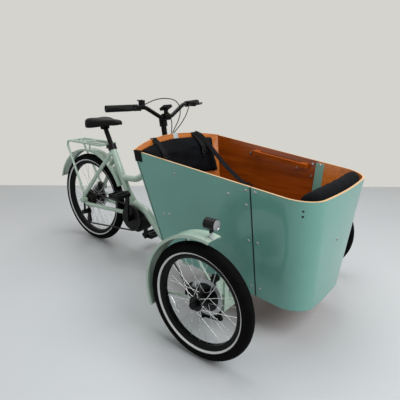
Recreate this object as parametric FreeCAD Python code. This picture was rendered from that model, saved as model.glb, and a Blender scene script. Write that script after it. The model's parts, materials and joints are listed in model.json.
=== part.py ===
import FreeCAD, Part
import math
import os

# Cargo tricycle: a plywood box between two steered front wheels, and one driven rear wheel.
# Millimetres and degrees, +X forward, +Y to the rider's left, +Z up, standing on Z = 0.
# Pieces are drawn with the rear axle at X = 0 and moved to the part's own origin on export.

V = FreeCAD.Vector
X_DIR = V(1, 0, 0)
Y_DIR = V(0, 1, 0)
Z_DIR = V(0, 0, 1)
ORIGIN = V(0, 0, 0)
SIDES = {"right": -1, "left": 1}

# Fits
RUNNING = 0.05          # radial clearance of a shaft that turns in its bore
CLEAR = 0.3             # gap between pieces that must not touch
OVERRUN = 5.0           # how far a cutting body passes the face that it cuts

# Wheels
WHEELBASE = 1376.0
HALF_TRACK = 538.0
REAR_WHEEL_R = 305.0
FRONT_WHEEL_R = 254.0
TYRE_SECTION_R = 27.0
TYRE_WALL = 4.0
BEAD_ANGLE = 40.0
RIM_DEPTH = 20.0
RIM_FLANGE = 2.0
RIM_WELL = 5.0
SPOKE_R = 1.1
FRONT_SPOKES = 28
REAR_SPOKES = 36
SPOKE_LEAD = 34.0
SPOKE_TAPER_SHARE = 0.3
HUB_BARREL_R = 19.0
HUB_FLANGE_R = 31.0
HUB_FLANGE_T = 4.0
HUB_HALF_SPREAD = 25.0
HUB_BOSS_R = 22.0
HUB_BOSS_L = 15.0
ROTOR_R = 80.0
ROTOR_T = 2.0
ROTOR_BOLT_R = 3.0
ROTOR_BOLTS = 6
STUB_AXLE_R = 10.0
REAR_AXLE_R = 6.0
AXLE_NUT_R = 15.0
AXLE_NUT_L = 12.0

# Steering geometry: head and kingpin axes lean alike, so both rods move in true parallelograms
HEAD_LEAN = 8.4
HEAD_X = 691.0          # where the head axis stands at the height of HEAD_Z
HEAD_Z = 806.0
COLUMN_R = 15.0
COLUMN_TOP_Z = 890.0
UPPER_HEAD_Z = 655.0
UPPER_HEAD_L = 120.0
LOWER_HEAD_Z = 160.0
LOWER_HEAD_L = 50.0
HEAD_TUBE_R = 23.0
ARM_Z = 122.0           # height of the steering arms on their axes
ARM_L = 100.0
ARM_W = 28.0
ARM_T = 10.0
ARM_PIN_R = 6.0
ROD_R = 4.5
ROD_EYE_R = 12.0
ROD_EYE_T = 10.0
ROD_SIDE_GAP = 2.0
KINGPIN_Y = 423.0
KINGPIN_R = 11.0
KING_POST_R = 21.0
KING_POST_L = 92.0
KNUCKLE_LUG_T = 12.0
KNUCKLE_W = 38.0
KNUCKLE_PLATE_T = 16.0
KNUCKLE_SIDE_GAP = 3.0
LUG_GAP = 0.5
KINGPIN_HEAD_R = 15.0
KINGPIN_HEAD_T = 9.0

# Frame tubes
BB_X = 430.0
BB_Z = 260.0
SEAT_LEAN = 25.9
SEAT_TUBE_R = 22.0
SEAT_TUBE_FROM = 35.0   # along the seat tube's axis from the crank axis
SEAT_TUBE_TO = 485.0
SEAT_POST_R = 15.0
TUBE_WALL = 2.5
TOP_TUBE_R = 20.0
TOP_TUBE_AT = 262.0     # along the seat tube's axis
TOP_TUBE_RUN = 128.0
TOP_TUBE_RISE = 8.0
TOP_TUBE_BEND = 105.0
DOWN_TUBE_R = 24.0
DOWN_TUBE_AT = 157.0    # along the seat tube's axis
DOWN_TUBE_DROP = 62.0
DOWN_TUBE_STEP = 52.0
DOWN_TUBE_SHELF = 107.0
DOWN_TUBE_SHELF_DROP = 27.0
DOWN_TUBE_FOOT_X = 676.0
DOWN_TUBE_BENDS = (45.0, 80.0, 110.0)
BEAM_Z = 160.0
BEAM_SIZE = 40.0
BEAM_WALL = 3.0
UPRIGHT_W = 30.0
UPRIGHT_GAP = 12.0
POST_WEB_H = 60.0
BEARER_X = 990.0
BEARER_L = 40.0
BEARER_HALF = 200.0
STAY_R = 13.0
STAY_Y = 84.0
STAY_TOP_AT = 432.0     # along the seat tube's axis
STAY_TOP_Y = 26.0
STAY_CORNER_X = -52.0
STAY_CORNER_DROP = 28.0
STAY_FRONT_X = 352.0
STAY_FRONT_Y = 28.0
STAY_BEND = 40.0
DROPOUT_T = 24.0
DROPOUT_R = 20.0
DROPOUT_GAP = 2.0

# Motor and drive
MOTOR_R = 54.0
MOTOR_NOSE_R = 47.0
MOTOR_NOSE_X = 42.0
MOTOR_NOSE_DROP = 40.0
MOTOR_HALF = 42.0
SPINDLE_R = 11.0
SPINDLE_HALF = 76.0
CRANK_L = 174.0
CRANK_PHASE = 85.4
CRANK_W = 28.0
CRANK_T = 13.0
CRANK_BOSS_R = 19.0
CHAINLINE = 52.0
CHAINRING_R = 78.0
CHAINRING_T = 3.0
COG_R = 50.0
COG_T = 26.0
COG_STEP_SHARES = (1.0, 1.1, 1.2, 1.3)
FREEHUB_R = 16.0
CHAIN_H = 8.0
CHAIN_W = 7.0
JOCKEY_R = 20.0
JOCKEY_T = 5.0
JOCKEY_PIN_R = 4.0
JOCKEY_UPPER = (-6.0, -88.0)
JOCKEY_LOWER = (2.0, -152.0)
CAGE_T = 2.5
CAGE_W = 24.0
DERAILLEUR_BODY_R = 15.0
PEDAL_SPINDLE_R = 7.0
PEDAL_L = 96.0
PEDAL_W = 90.0
PEDAL_H = 26.0
PEDAL_GAP = 6.0
PEDAL_FILLET = 6.0

# Seat
SADDLE_TOP_Z = 862.0
SADDLE_L = 272.0
SADDLE_W = 192.0
SADDLE_H = 80.0
SADDLE_NOSE_AHEAD = 160.0
SADDLE_STATION_SHARES = (0.0, 0.1, 0.3, 0.55, 0.8, 1.0)
SADDLE_WIDTH_SHARES = (0.62, 0.95, 1.0, 0.56, 0.3, 0.2)
SADDLE_DEPTH_SHARES = (0.82, 1.0, 0.95, 0.66, 0.52, 0.44)
SADDLE_DROP_SHARES = (0.16, 0.03, 0.0, 0.08, 0.07, 0.16)
SADDLE_CROWN_SHARE = 0.36
SADDLE_FOOT_SHARE = 0.9
SADDLE_SHOULDER_SHARE = 0.92
SADDLE_PAD_T = 36.0
SADDLE_POCKET_SHARES = (0.2, 0.64)
SADDLE_POCKET_HALF = 30.0
SADDLE_RAIL_R = 4.0
SADDLE_RAIL_Y = 22.0
SADDLE_RAIL_GRIP = 8.0
POST_HEAD_R = 14.0
CLAMP_R = 28.0
CLAMP_H = 36.0

# Rack, rear mudguard and rear lights
RACK_R = 7.5
RACK_BAR_R = 6.0
RACK_ROD_R = 4.0
RACK_HALF = 62.0
RACK_Z = 694.0
RACK_REAR_X = -185.0
RACK_FRONT_X = 185.0
RACK_BEND = 26.0
RACK_FOOT_X = 0.0
RACK_FOOT_RISE = 50.0
RACK_CROSS_SHARES = (0.0, 0.42, 1.0)
RACK_ROD_SHARES = (-0.36, 0.36)
GUARD_GAP = 33.0
GUARD_T = 2.0
GUARD_HALF = 36.0
REAR_GUARD_FROM = 24.0
REAR_GUARD_TO = 161.0
GUARD_LIP = 10.0
GUARD_POST_R = 5.0
TAIL_ANGLES = (125.7, 138.5, 159.5)
TAIL_R = 13.0
TAIL_T = 16.0
LAMP_W = 40.0
LAMP_T = 12.0

# Front mudguards and headlights
FRONT_GUARD_GAP = 23.0
FRONT_GUARD_HALF = 39.0
FRONT_GUARD_AHEAD = 12.0   # the front guard's own centre, from the axle
FRONT_GUARD_ABOVE = 14.0
FRONT_GUARD_FROM = 78.0
FRONT_GUARD_TO = 203.0
GUARD_STAY_R = 6.0
GUARD_STAY_ANGLES = (196.0, 118.0)
GUARD_STAY_RISES = (-34.0, 44.0)
HEADLIGHT_R = 22.0
HEADLIGHT_L = 50.0
HEADLIGHT_X = 54.0
HEADLIGHT_RISE = 344.0
LENS_T = 5.0
LAMP_FOOT_W = 18.0
LAMP_FOOT_T = 6.0
LAMP_FOOT_SPAN = 6.0

# Brakes
CALIPER_L = 46.0
CALIPER_H = 40.0
CALIPER_W = 26.0
CALIPER_SLOT = 5.0
ROTOR_GRIP = 22.0       # how far a caliper reaches over the rotor's rim
REAR_CALIPER_ANGLE = 72.0

# Box
BOX_WALL = 10.0
BOX_FOOT_Z = 150.0      # lowest point of the box, under its front face
BOX_FOOT_FRONT_X = 1695.0
BOX_FOOT_HALF = 241.0
BOX_LOFT_TOP_Z = 870.0
BOX_FALL = 0.1127        # floor and rim fall this much per unit of length forward
SIDE_LEAN = 0.17
FRONT_LEAN = 0.098
REAR_LEAN = 0.215
REAR_FOOT_X = 873.5
REAR_BOW = 70.0
FRONT_BOW_R = 2400.0
CORNER_R = 125.0
RIM_Z = 776.0           # rim height at the rear corners
RIM_X = 810.0
REAR_ARCH = 34.0
SEAM_X = 1465.0
SEAM_GAP = 2.0
FLOOR_T = 12.0
BENCH_RISE = 250.0
BENCH_T = 12.0
BENCH_FRONT_X = 1190.0
RISER_INSET = 20.0
STRIP_BACK = 4.0
STRIP_AHEAD = 38.0
STRIP_T = 6.0
STRIP_END = 8.0
STRIP_FOOT_GAP = 5.0
SCREW_HEAD_R = 7.0
SCREW_HEAD_H = 4.0
SCREW_R = 3.0
SCREW_HOLE_GAP = 0.2
NUT_R = 6.0
NUT_H = 4.0
SEAM_SCREW_OFFSET = 22.0
# Screws: shares of the panel's depth below the rim, and for the others also of its length from the rear
SEAM_SCREW_SHARES = (0.035, 0.470, 0.907)
LONE_SEAM_SCREW_SHARE = 0.160
WALL_SCREW_SHARES = ((0.386, 0.100), (0.835, 0.115), (0.221, 0.552), (0.279, 0.533))
HANDLE_X = 1095.0
HANDLE_L = 325.0
HANDLE_W = 22.0
HANDLE_T = 16.0
HANDLE_GAP = 28.0
HANDLE_FOOT = 34.0
HANDLE_DROP = 24.0
BATTERY_L = 105.0
BATTERY_HALF = 170.0
BATTERY_H = 105.0
BATTERY_X = 985.0
BRACKET_W = 38.0
BRACKET_T = 2.5
BRACKET_DROP = 46.0
BRACKET_Y = 30.0
CLIP_REACH = 10.0
CLIP_H = 30.0

# Soft pieces in the box
BACK_HALF = 265.0
BACK_T = 46.0
BACK_FOOT_RISE = 58.0
BACK_TOP_DROP = 20.0
BACK_STATION_SHARES = (-1.0, -0.9, -0.5, 0.0, 0.5, 0.9, 1.0)
BACK_THICK_SHARES = (0.3, 0.72, 0.96, 1.0, 0.96, 0.72, 0.3)
BACK_SIDE_SHARES = (0.86, 0.98, 1.0, 1.0, 1.0, 0.98, 0.86)
PAD_T = 44.0
PAD_HALF = 262.0
PAD_BACK_GAP = 26.0
PAD_FRONT_GAP = 6.0
PAD_EDGE_SHARE = 0.55
ROLL_R = 42.0
ROLL_HALF = 268.0
ROLL_RISE = 32.0
ROLL_STATION_SHARES = (-1.0, -0.93, -0.7, -0.35, 0.0, 0.35, 0.7, 0.93, 1.0)
ROLL_SIZE_SHARES = (0.45, 0.85, 0.98, 1.0, 1.0, 1.0, 0.98, 0.85, 0.45)
STRAP_W = 38.0
STRAP_T = 2.5
STRAP_DROP = 55.0
ROLL_PRESS = 3.0
RIM_STRAPS_Y = (-150.0, 170.0)
CORNER_STRAP_X = 815.0
CORNER_STRAP_W = 48.0

# Handlebar
STEM_R = 22.0
STEM_H = 42.0
BAR_R = 11.1
BAR_X = 704.0
BAR_Z = 902.0
BAR_CLAMP_R = 19.0
BAR_CLAMP_HALF = 24.0
BAR_FLAT_HALF = 42.0
BAR_RISE = 59.0
BAR_BEND_AHEAD = -6.0
BAR_BEND_Y = 151.0
BAR_END_BACK = 69.0
BAR_END_Y = 353.0
BAR_BENDS = (42.0, 52.0)
GRIP_R = 17.0
GRIP_L = 134.0
GRIP_END = 4.0
POD_L = 26.0
POD_R = 17.0
POD_GAP = 8.0
POD_REACH = 30.0
POD_W = 22.0
POD_H = 24.0
LEVER_PIN_R = 4.0
LEVER_T = 8.0
LEVER_H = 12.0
LEVER_L = 104.0
LEVER_EYE_R = 9.0
LEVER_SPREAD = 14.0
SHIFT_R = 17.0
SHIFT_L = 38.0
SHIFT_T = 6.0
SHIFT_PIN_R = 4.0
SHIFT_RISE = 34.0
DISPLAY_L = 62.0
DISPLAY_W = 40.0
DISPLAY_T = 14.0
DISPLAY_RISE = 50.0
DISPLAY_TILT = 32.0
CABLE_R = 2.5
CABLE_BEND_SHARE = 0.45
# Each cable's route, chosen by hand: along X, Y and Z from the bar's clamp centre
CABLE_ROUTES = (
    ((2.0, -205.0, 60.0), (34.0, -150.0, 92.0), (46.0, -90.0, 104.0), (52.0, -30.0, 102.0), (52.0, 22.0, 90.0),
     (50.0, 58.0, 60.0), (46.0, 70.0, 16.0), (36.0, 54.0, -36.0), (26.0, 35.0, -70.0), (20.0, 30.0, -92.0)),
    ((2.0, 205.0, 60.0), (30.0, 164.0, 62.0), (50.0, 134.0, 44.0), (54.0, 108.0, 4.0), (42.0, 78.0, -42.0),
     (28.0, 52.0, -74.0), (20.0, 40.0, -92.0)),
    ((20.0, -16.0, 36.0), (38.0, -12.0, 18.0), (44.0, -2.0, -18.0), (34.0, 10.0, -58.0), (20.0, 20.0, -92.0)),
)


def axis_point(height, x=HEAD_X, z=HEAD_Z, y=0.0):
    """Point at a height on the leaning axis that stands at x where its height is z."""
    return V(x + (z - height) * math.tan(math.radians(HEAD_LEAN)), y, height)


LEAN = math.radians(HEAD_LEAN)
AXIS_UP = V(-math.sin(LEAN), 0, math.cos(LEAN))
ARM_DIR = V(-math.cos(LEAN), 0, -math.sin(LEAN))
SEAT_UP = V(-math.sin(math.radians(SEAT_LEAN)), 0, math.cos(math.radians(SEAT_LEAN)))
CRANK_AXIS = V(BB_X, 0, BB_Z)
REAR_AXLE = V(0, 0, REAR_WHEEL_R)


def front_axle(side):
    """Centre of a front wheel."""
    return V(WHEELBASE, side * HALF_TRACK, FRONT_WHEEL_R)


def kingpin(side, along=0.0):
    """Point on a kingpin's axis, measured up the axis from the height of the front axle."""
    return V(WHEELBASE, side * KINGPIN_Y, FRONT_WHEEL_R) + AXIS_UP * along


def seat_point(along):
    """Point on the seat tube's axis, measured from the crank axis."""
    return CRANK_AXIS + SEAT_UP * along


# Shapes that many pieces share

def rod_between(start, end, radius):
    """Round bar from one point to another."""
    return Part.makeCylinder(radius, (end - start).Length, start, end - start)


def ring_between(start, end, radius, bore):
    """Round sleeve from one point to another."""
    step = (end - start).normalize() * OVERRUN
    return rod_between(start, end, radius).cut(rod_between(start - step, end + step, bore))


def block(centre, size_x, size_y, size_z):
    """Box about a centre, square to the axes."""
    corner = centre - V(size_x / 2, size_y / 2, size_z / 2)
    return Part.makeBox(size_x, size_y, size_z, corner)


def leaning_block(centre, size_x, size_y, size_z, angle=-HEAD_LEAN):
    """Box about a centre, turned about the Y direction."""
    shape = block(centre, size_x, size_y, size_z)
    shape.rotate(centre, Y_DIR, angle)
    return shape


def rounded_path(points, bends):
    """Wire of straight runs joined by tangent arcs, one bend radius for each inner point."""
    edges = []
    start = points[0]
    for index, bend in enumerate(bends):
        corner = points[index + 1]
        back = (points[index] - corner).normalize()
        ahead = (points[index + 2] - corner).normalize()
        half = back.getAngle(ahead) / 2
        reach = bend / math.tan(half)
        middle = (back + ahead).normalize() * (bend / math.sin(half) - bend)
        first = corner + back * reach
        last = corner + ahead * reach
        edges.append(Part.LineSegment(start, first).toShape())
        edges.append(Part.Arc(first, corner + middle, last).toShape())
        start = last
    edges.append(Part.LineSegment(start, points[-1]).toShape())
    return Part.Wire(edges)


def bar_along(points, bends, radius):
    """Round bar along straight runs and tangent arcs."""
    path = rounded_path(points, bends)
    ring = Part.Wire(Part.makeCircle(radius, points[0], points[1] - points[0]))
    return path.makePipeShell([ring], True, False)


def tube_along(points, bends, radius):
    """Round tube along straight runs and tangent arcs, open at both ends."""
    return bar_along(points, bends, radius).cut(bar_along(points, bends, radius - TUBE_WALL))


def polygon_face(points):
    """Flat face inside a closed outline of straight lines."""
    return Part.Face(Part.makePolygon(points + points[:1]))


def turned(outline, centre, axis=Y_DIR):
    """Solid of revolution: the outline holds (radius, along) pairs about the centre's Y axis."""
    points = [centre + V(radius, along, 0) for radius, along in outline]
    return polygon_face(points).revolve(centre, axis, 360)


def sector(centre, radius_in, radius_out, half_width, angle_from, angle_to):
    """Curved strip about the Y direction between two angles from +X towards +Z."""
    points = [V(radius_in, -half_width, 0), V(radius_out, -half_width, 0),
              V(radius_out, half_width, 0), V(radius_in, half_width, 0)]
    strip = polygon_face(points).revolve(ORIGIN, Y_DIR * -1, angle_to - angle_from)
    strip.rotate(ORIGIN, Y_DIR * -1, angle_from)
    strip.translate(centre)
    return strip


def polar(centre, radius, angle, y=0.0):
    """Point about a centre at an angle from +X towards +Z."""
    turn = math.radians(angle)
    return V(centre.x + radius * math.cos(turn), centre.y + y, centre.z + radius * math.sin(turn))


def fuse(shapes):
    """One solid from pieces that touch or overlap."""
    return shapes[0].multiFuse(shapes[1:]).removeSplitter()


def group(shapes):
    """Separate solids kept together in one node."""
    return Part.makeCompound([solid for shape in shapes for solid in shape.Solids])


def mirrored(shape):
    """The same shape on the other side of the tricycle."""
    return shape.mirror(ORIGIN, Y_DIR)


# Wheels

def bead_points(radius):
    """Lower ends of the tyre's outer and inner wall as (radius, half width)."""
    centre = radius - TYRE_SECTION_R
    angle = math.radians(BEAD_ANGLE)
    inner = TYRE_SECTION_R - TYRE_WALL
    outer_end = (centre - TYRE_SECTION_R * math.cos(angle), TYRE_SECTION_R * math.sin(angle))
    inner_end = (centre - inner * math.cos(angle), inner * math.sin(angle))
    return outer_end, inner_end


def tyre(centre, radius):
    """Hollow tyre, open towards the rim."""
    ring = radius - TYRE_SECTION_R
    outer_end, inner_end = bead_points(radius)
    inner = TYRE_SECTION_R - TYRE_WALL

    def spot(pair, side):
        return V(pair[0], side * pair[1], 0)

    edges = [Part.Arc(spot(outer_end, 1), V(ring + TYRE_SECTION_R, 0, 0), spot(outer_end, -1)).toShape(),
             Part.LineSegment(spot(outer_end, -1), spot(inner_end, -1)).toShape(),
             Part.Arc(spot(inner_end, -1), V(ring + inner, 0, 0), spot(inner_end, 1)).toShape(),
             Part.LineSegment(spot(inner_end, 1), spot(outer_end, 1)).toShape()]
    shape = Part.Face(Part.Wire(edges)).revolve(ORIGIN, Y_DIR, 360)
    shape.translate(centre)
    return shape


def rim_inner_r(radius):
    """Radius of the rim's face that the spokes enter."""
    return bead_points(radius)[0][0] - RIM_DEPTH


def rim(centre, radius):
    """Channel-shaped rim whose flanges hold the tyre's beads."""
    outer_end, inner_end = bead_points(radius)
    half = (outer_end[1] + inner_end[1]) / 2 - CLEAR
    lip = (outer_end[0] + inner_end[0]) / 2 - CLEAR
    seat = lip - RIM_WELL
    foot = rim_inner_r(radius)
    foot_half = half - RIM_WELL
    outline = [(lip, -half), (lip, RIM_FLANGE - half), (seat, RIM_FLANGE - half),
               (seat, half - RIM_FLANGE), (lip, half - RIM_FLANGE), (lip, half),
               (seat - RIM_WELL, half), (foot, foot_half), (foot, -foot_half), (seat - RIM_WELL, -half)]
    return turned(outline, centre)


def spokes(centre, radius, count):
    """Crossed spokes from the hub's two flanges to the rim."""
    start_r = HUB_FLANGE_R + CLEAR
    end_r = rim_inner_r(radius) - CLEAR
    bars = []
    for index in range(count):
        side = 1 if index % 2 else -1
        lead = SPOKE_LEAD if index % 4 < 2 else -SPOKE_LEAD
        angle = 360.0 * index / count
        start = polar(centre, start_r, angle - lead, side * HUB_HALF_SPREAD)
        end = polar(centre, end_r, angle, side * RIM_WELL * SPOKE_TAPER_SHARE)
        bars.append(rod_between(start, end, SPOKE_R))
    return group(bars)


def hub(centre, bore, side, boss=HUB_BOSS_L):
    """Flanged hub with a brake rotor bolted to its boss on the given side."""
    end = HUB_HALF_SPREAD + HUB_FLANGE_T / 2
    start = HUB_HALF_SPREAD - HUB_FLANGE_T / 2
    outline = [(bore, -end), (HUB_FLANGE_R, -end), (HUB_FLANGE_R, -start), (HUB_BARREL_R, -start),
               (HUB_BARREL_R, start), (HUB_FLANGE_R, start), (HUB_FLANGE_R, end),
               (HUB_BOSS_R, end), (HUB_BOSS_R, end + boss), (bore, end + boss)]
    outline = [(radius, side * along) for radius, along in outline]
    face = centre + Y_DIR * (side * (end + boss))
    rotor = ring_between(face, face + Y_DIR * (side * ROTOR_T), ROTOR_R, bore)
    bolts = []
    bolt_ring = (HUB_BOSS_R + bore) / 2
    for index in range(ROTOR_BOLTS):
        spot = polar(face, bolt_ring, 360.0 * index / ROTOR_BOLTS, side * ROTOR_T)
        bolts.append(rod_between(spot, spot + Y_DIR * (side * ROTOR_T), ROTOR_BOLT_R))
    return group([turned(outline, centre), rotor] + bolts)


def rotor_y(boss=HUB_BOSS_L):
    """Distance of the rotor's middle plane from the wheel's middle plane."""
    return HUB_HALF_SPREAD + HUB_FLANGE_T / 2 + boss + ROTOR_T / 2


def caliper(rotor_centre, angle):
    """Caliper that reaches over a rotor's rim at an angle, with a slot for the rotor."""
    reach = ROTOR_R - ROTOR_GRIP + CALIPER_L / 2
    body = block(rotor_centre + X_DIR * reach, CALIPER_L, CALIPER_W, CALIPER_H)
    slot = block(rotor_centre + X_DIR * (reach - ROTOR_GRIP), CALIPER_L, CALIPER_SLOT, CALIPER_H + OVERRUN)
    shape = body.cut(slot)
    shape.rotate(rotor_centre, Y_DIR * -1, angle)
    return shape


# Front axle and steering

def axle_beam():
    """Cross tube under the box with an upright and a king post at each end."""
    half = KINGPIN_Y - KING_POST_R - UPRIGHT_GAP - UPRIGHT_W / 2
    length = 2 * half
    bar = block(V(WHEELBASE, 0, BEAM_Z), BEAM_SIZE, length, BEAM_SIZE)
    hollow = BEAM_SIZE - 2 * BEAM_WALL
    bar = bar.cut(block(V(WHEELBASE, 0, BEAM_Z), hollow, length - UPRIGHT_W, hollow))
    pieces = [bar]
    for side in SIDES.values():
        top = FRONT_WHEEL_R + POST_WEB_H / 2
        foot = BEAM_Z - BEAM_SIZE / 2
        pieces.append(block(V(WHEELBASE, side * half, (top + foot) / 2), BEAM_SIZE, UPRIGHT_W, top - foot))
        web = KINGPIN_Y - half
        pieces.append(block(V(WHEELBASE, side * (half + web / 2), FRONT_WHEEL_R), KING_POST_R,
                            web, POST_WEB_H))
        pieces.append(rod_between(kingpin(side, -KING_POST_L / 2), kingpin(side, KING_POST_L / 2),
                                  KING_POST_R))
    bearer = [V(WHEELBASE + shift, -BEARER_HALF, z) for shift, z in
              ((-BEAM_SIZE / 2, BEAM_Z), (BEAM_SIZE / 2, BEAM_Z),
               (BEAM_SIZE / 2, floor_height(WHEELBASE + BEAM_SIZE / 2)),
               (-BEAM_SIZE / 2, floor_height(WHEELBASE - BEAM_SIZE / 2)))]
    pieces.append(polygon_face(bearer).extrude(Y_DIR * (2 * BEARER_HALF)))
    shape = fuse(pieces)
    for side in SIDES.values():
        bore = rod_between(kingpin(side, -KING_POST_L), kingpin(side, KING_POST_L), KINGPIN_R + RUNNING)
        shape = shape.cut(bore)
    return shape


def rod_level(side):
    """How many rod eyes hang on a pin down to a side's rod: the left rod hangs under the right one."""
    return 2 if side > 0 else 1


def arm(pivot, level):
    """Steering arm about a pivot on a leaning axis, with a pin under its far end."""
    eye = rod_between(pivot - AXIS_UP * (ARM_T / 2), pivot + AXIS_UP * (ARM_T / 2), ARM_W / 2 + RUNNING)
    tip = pivot + ARM_DIR * ARM_L
    end = rod_between(tip - AXIS_UP * (ARM_T / 2), tip + AXIS_UP * (ARM_T / 2), ROD_EYE_R)
    bar = leaning_block(pivot + ARM_DIR * (ARM_L / 2), ARM_L, ROD_EYE_R * 2, ARM_T)
    pin_reach = ARM_T / 2 + level * (ROD_SIDE_GAP + ROD_EYE_T) + ROD_SIDE_GAP
    pin = rod_between(tip - AXIS_UP * pin_reach, tip, ARM_PIN_R)
    return fuse([eye, bar, end, pin])


def arm_pivot(side):
    """Where a steering arm sits on its axis: the column's for side 0, else a kingpin's."""
    if side == 0:
        return axis_point(ARM_Z)
    return axis_point(ARM_Z, WHEELBASE, FRONT_WHEEL_R, side * KINGPIN_Y)


def knuckle(side):
    """Upright with stub axle, its kingpin with the steering arm, and the brake caliper."""
    half = KING_POST_L / 2 + LUG_GAP
    outer = half + KNUCKLE_LUG_T
    plate_y = KING_POST_R + KNUCKLE_SIDE_GAP
    lugs = []
    for sign in (-1, 1):
        lugs.append(rod_between(kingpin(side, sign * half), kingpin(side, sign * outer), KNUCKLE_W / 2))
        middle = kingpin(side, sign * (half + outer) / 2) + Y_DIR * (side * plate_y / 2)
        lugs.append(leaning_block(middle, KNUCKLE_W, plate_y, KNUCKLE_LUG_T))
    plate_middle = kingpin(side) + Y_DIR * (side * (plate_y + KNUCKLE_PLATE_T / 2))
    plate = leaning_block(plate_middle, KNUCKLE_W, KNUCKLE_PLATE_T, 2 * outer)
    inner = V(WHEELBASE, side * (KINGPIN_Y + plate_y + KNUCKLE_PLATE_T / 2), FRONT_WHEEL_R)
    shoulder = V(WHEELBASE, side * (HALF_TRACK - rotor_y() - CLEAR * 2 - ROTOR_T * 2), FRONT_WHEEL_R)
    tip = front_axle(side) + Y_DIR * (side * (HUB_HALF_SPREAD + AXLE_NUT_L))
    cap = tip + Y_DIR * (side * AXLE_NUT_L)
    upright = fuse(lugs + [plate, rod_between(inner, shoulder, HUB_BOSS_R - ROTOR_BOLT_R * 2),
                           rod_between(inner, tip, STUB_AXLE_R), rod_between(tip, cap, AXLE_NUT_R)])
    bottom = arm_pivot(side) - AXIS_UP * (ARM_T / 2)
    top = kingpin(side, outer)
    upright = upright.cut(rod_between(bottom, top + AXIS_UP * OVERRUN, KINGPIN_R))
    pin = fuse([rod_between(bottom, top, KINGPIN_R),
                rod_between(top, top + AXIS_UP * KINGPIN_HEAD_T, KINGPIN_HEAD_R),
                arm(arm_pivot(side), rod_level(side))])
    rotor_centre = front_axle(side) - Y_DIR * (side * rotor_y())
    grip = caliper(rotor_centre, 180.0)
    foot_y = side * (KINGPIN_Y + plate_y + KNUCKLE_PLATE_T)
    foot_end = rotor_centre.y - side * CALIPER_W / 2
    start = WHEELBASE - ROTOR_R + ROTOR_GRIP - CALIPER_L
    foot = Part.makeBox(WHEELBASE - start - KNUCKLE_W / 2 + OVERRUN, abs(foot_end - foot_y), CALIPER_H / 2,
                        V(start, min(foot_end, foot_y), FRONT_WHEEL_R))
    web = Part.makeBox(KNUCKLE_W, abs(foot_end - foot_y), CALIPER_H / 2,
                       V(WHEELBASE - KNUCKLE_W, min(foot_end, foot_y), FRONT_WHEEL_R))
    grip = fuse([grip, foot, web]).cut(upright)
    return group([upright, pin, grip])


def track_rod(side):
    """Rod from the column's arm to one knuckle's arm, with an eye at each end."""
    drop = ARM_T / 2 + rod_level(side) * (ROD_SIDE_GAP + ROD_EYE_T) - ROD_EYE_T / 2
    ends = [arm_pivot(which) + ARM_DIR * ARM_L - AXIS_UP * drop for which in (0, side)]
    pieces = [rod_between(ends[0], ends[1], ROD_R)]
    for end in ends:
        pieces.append(rod_between(end - AXIS_UP * (ROD_EYE_T / 2), end + AXIS_UP * (ROD_EYE_T / 2), ROD_EYE_R))
    shape = fuse(pieces)
    for end in ends:
        shape = shape.cut(rod_between(end - AXIS_UP * ROD_EYE_R, end + AXIS_UP * ROD_EYE_R, ARM_PIN_R + RUNNING))
    return shape


def guard_strip(centre, wheel_r, gap, half, angle_from, angle_to):
    """Mudguard shell: a curved strip with a lip turned in along each edge."""
    inner = wheel_r + gap
    shell = sector(centre, inner, inner + GUARD_T, half, angle_from, angle_to)
    lips = []
    for side in SIDES.values():
        lip_centre = centre + Y_DIR * (side * (half - GUARD_T / 2))
        lips.append(sector(lip_centre, inner - GUARD_LIP, inner + GUARD_T / 2, GUARD_T / 2, angle_from, angle_to))
    return fuse([shell] + lips)


def guard_centre(side):
    """Centre that a front mudguard's shell is bent about."""
    return front_axle(side) + V(FRONT_GUARD_AHEAD, 0, FRONT_GUARD_ABOVE)


def front_guard(side):
    """Front mudguard with the two stays that hold it to the knuckle."""
    centre = guard_centre(side)
    shell = guard_strip(centre, FRONT_WHEEL_R, FRONT_GUARD_GAP, FRONT_GUARD_HALF,
                        FRONT_GUARD_FROM, FRONT_GUARD_TO)
    plate_y = KINGPIN_Y + KING_POST_R + KNUCKLE_SIDE_GAP + KNUCKLE_PLATE_T / 2
    edge_r = FRONT_WHEEL_R + FRONT_GUARD_GAP - GUARD_LIP / 2
    stays = []
    for angle, rise in zip(GUARD_STAY_ANGLES, GUARD_STAY_RISES):
        start = V(kingpin(side, rise).x, side * plate_y, FRONT_WHEEL_R + rise)
        end = polar(centre, edge_r, angle, -side * FRONT_GUARD_HALF)
        stays.append(rod_between(start, end, GUARD_STAY_R))
    inside = rod_space_y(centre, FRONT_WHEEL_R + FRONT_GUARD_GAP - GUARD_LIP)
    ends = [stay.cut(inside).common(rod_space_y(centre, edge_r + GUARD_LIP)) for stay in stays]
    runs = [stay.common(inside).cut(knuckle(side)) for stay in stays]
    return fuse([shell] + runs + ends)


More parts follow.
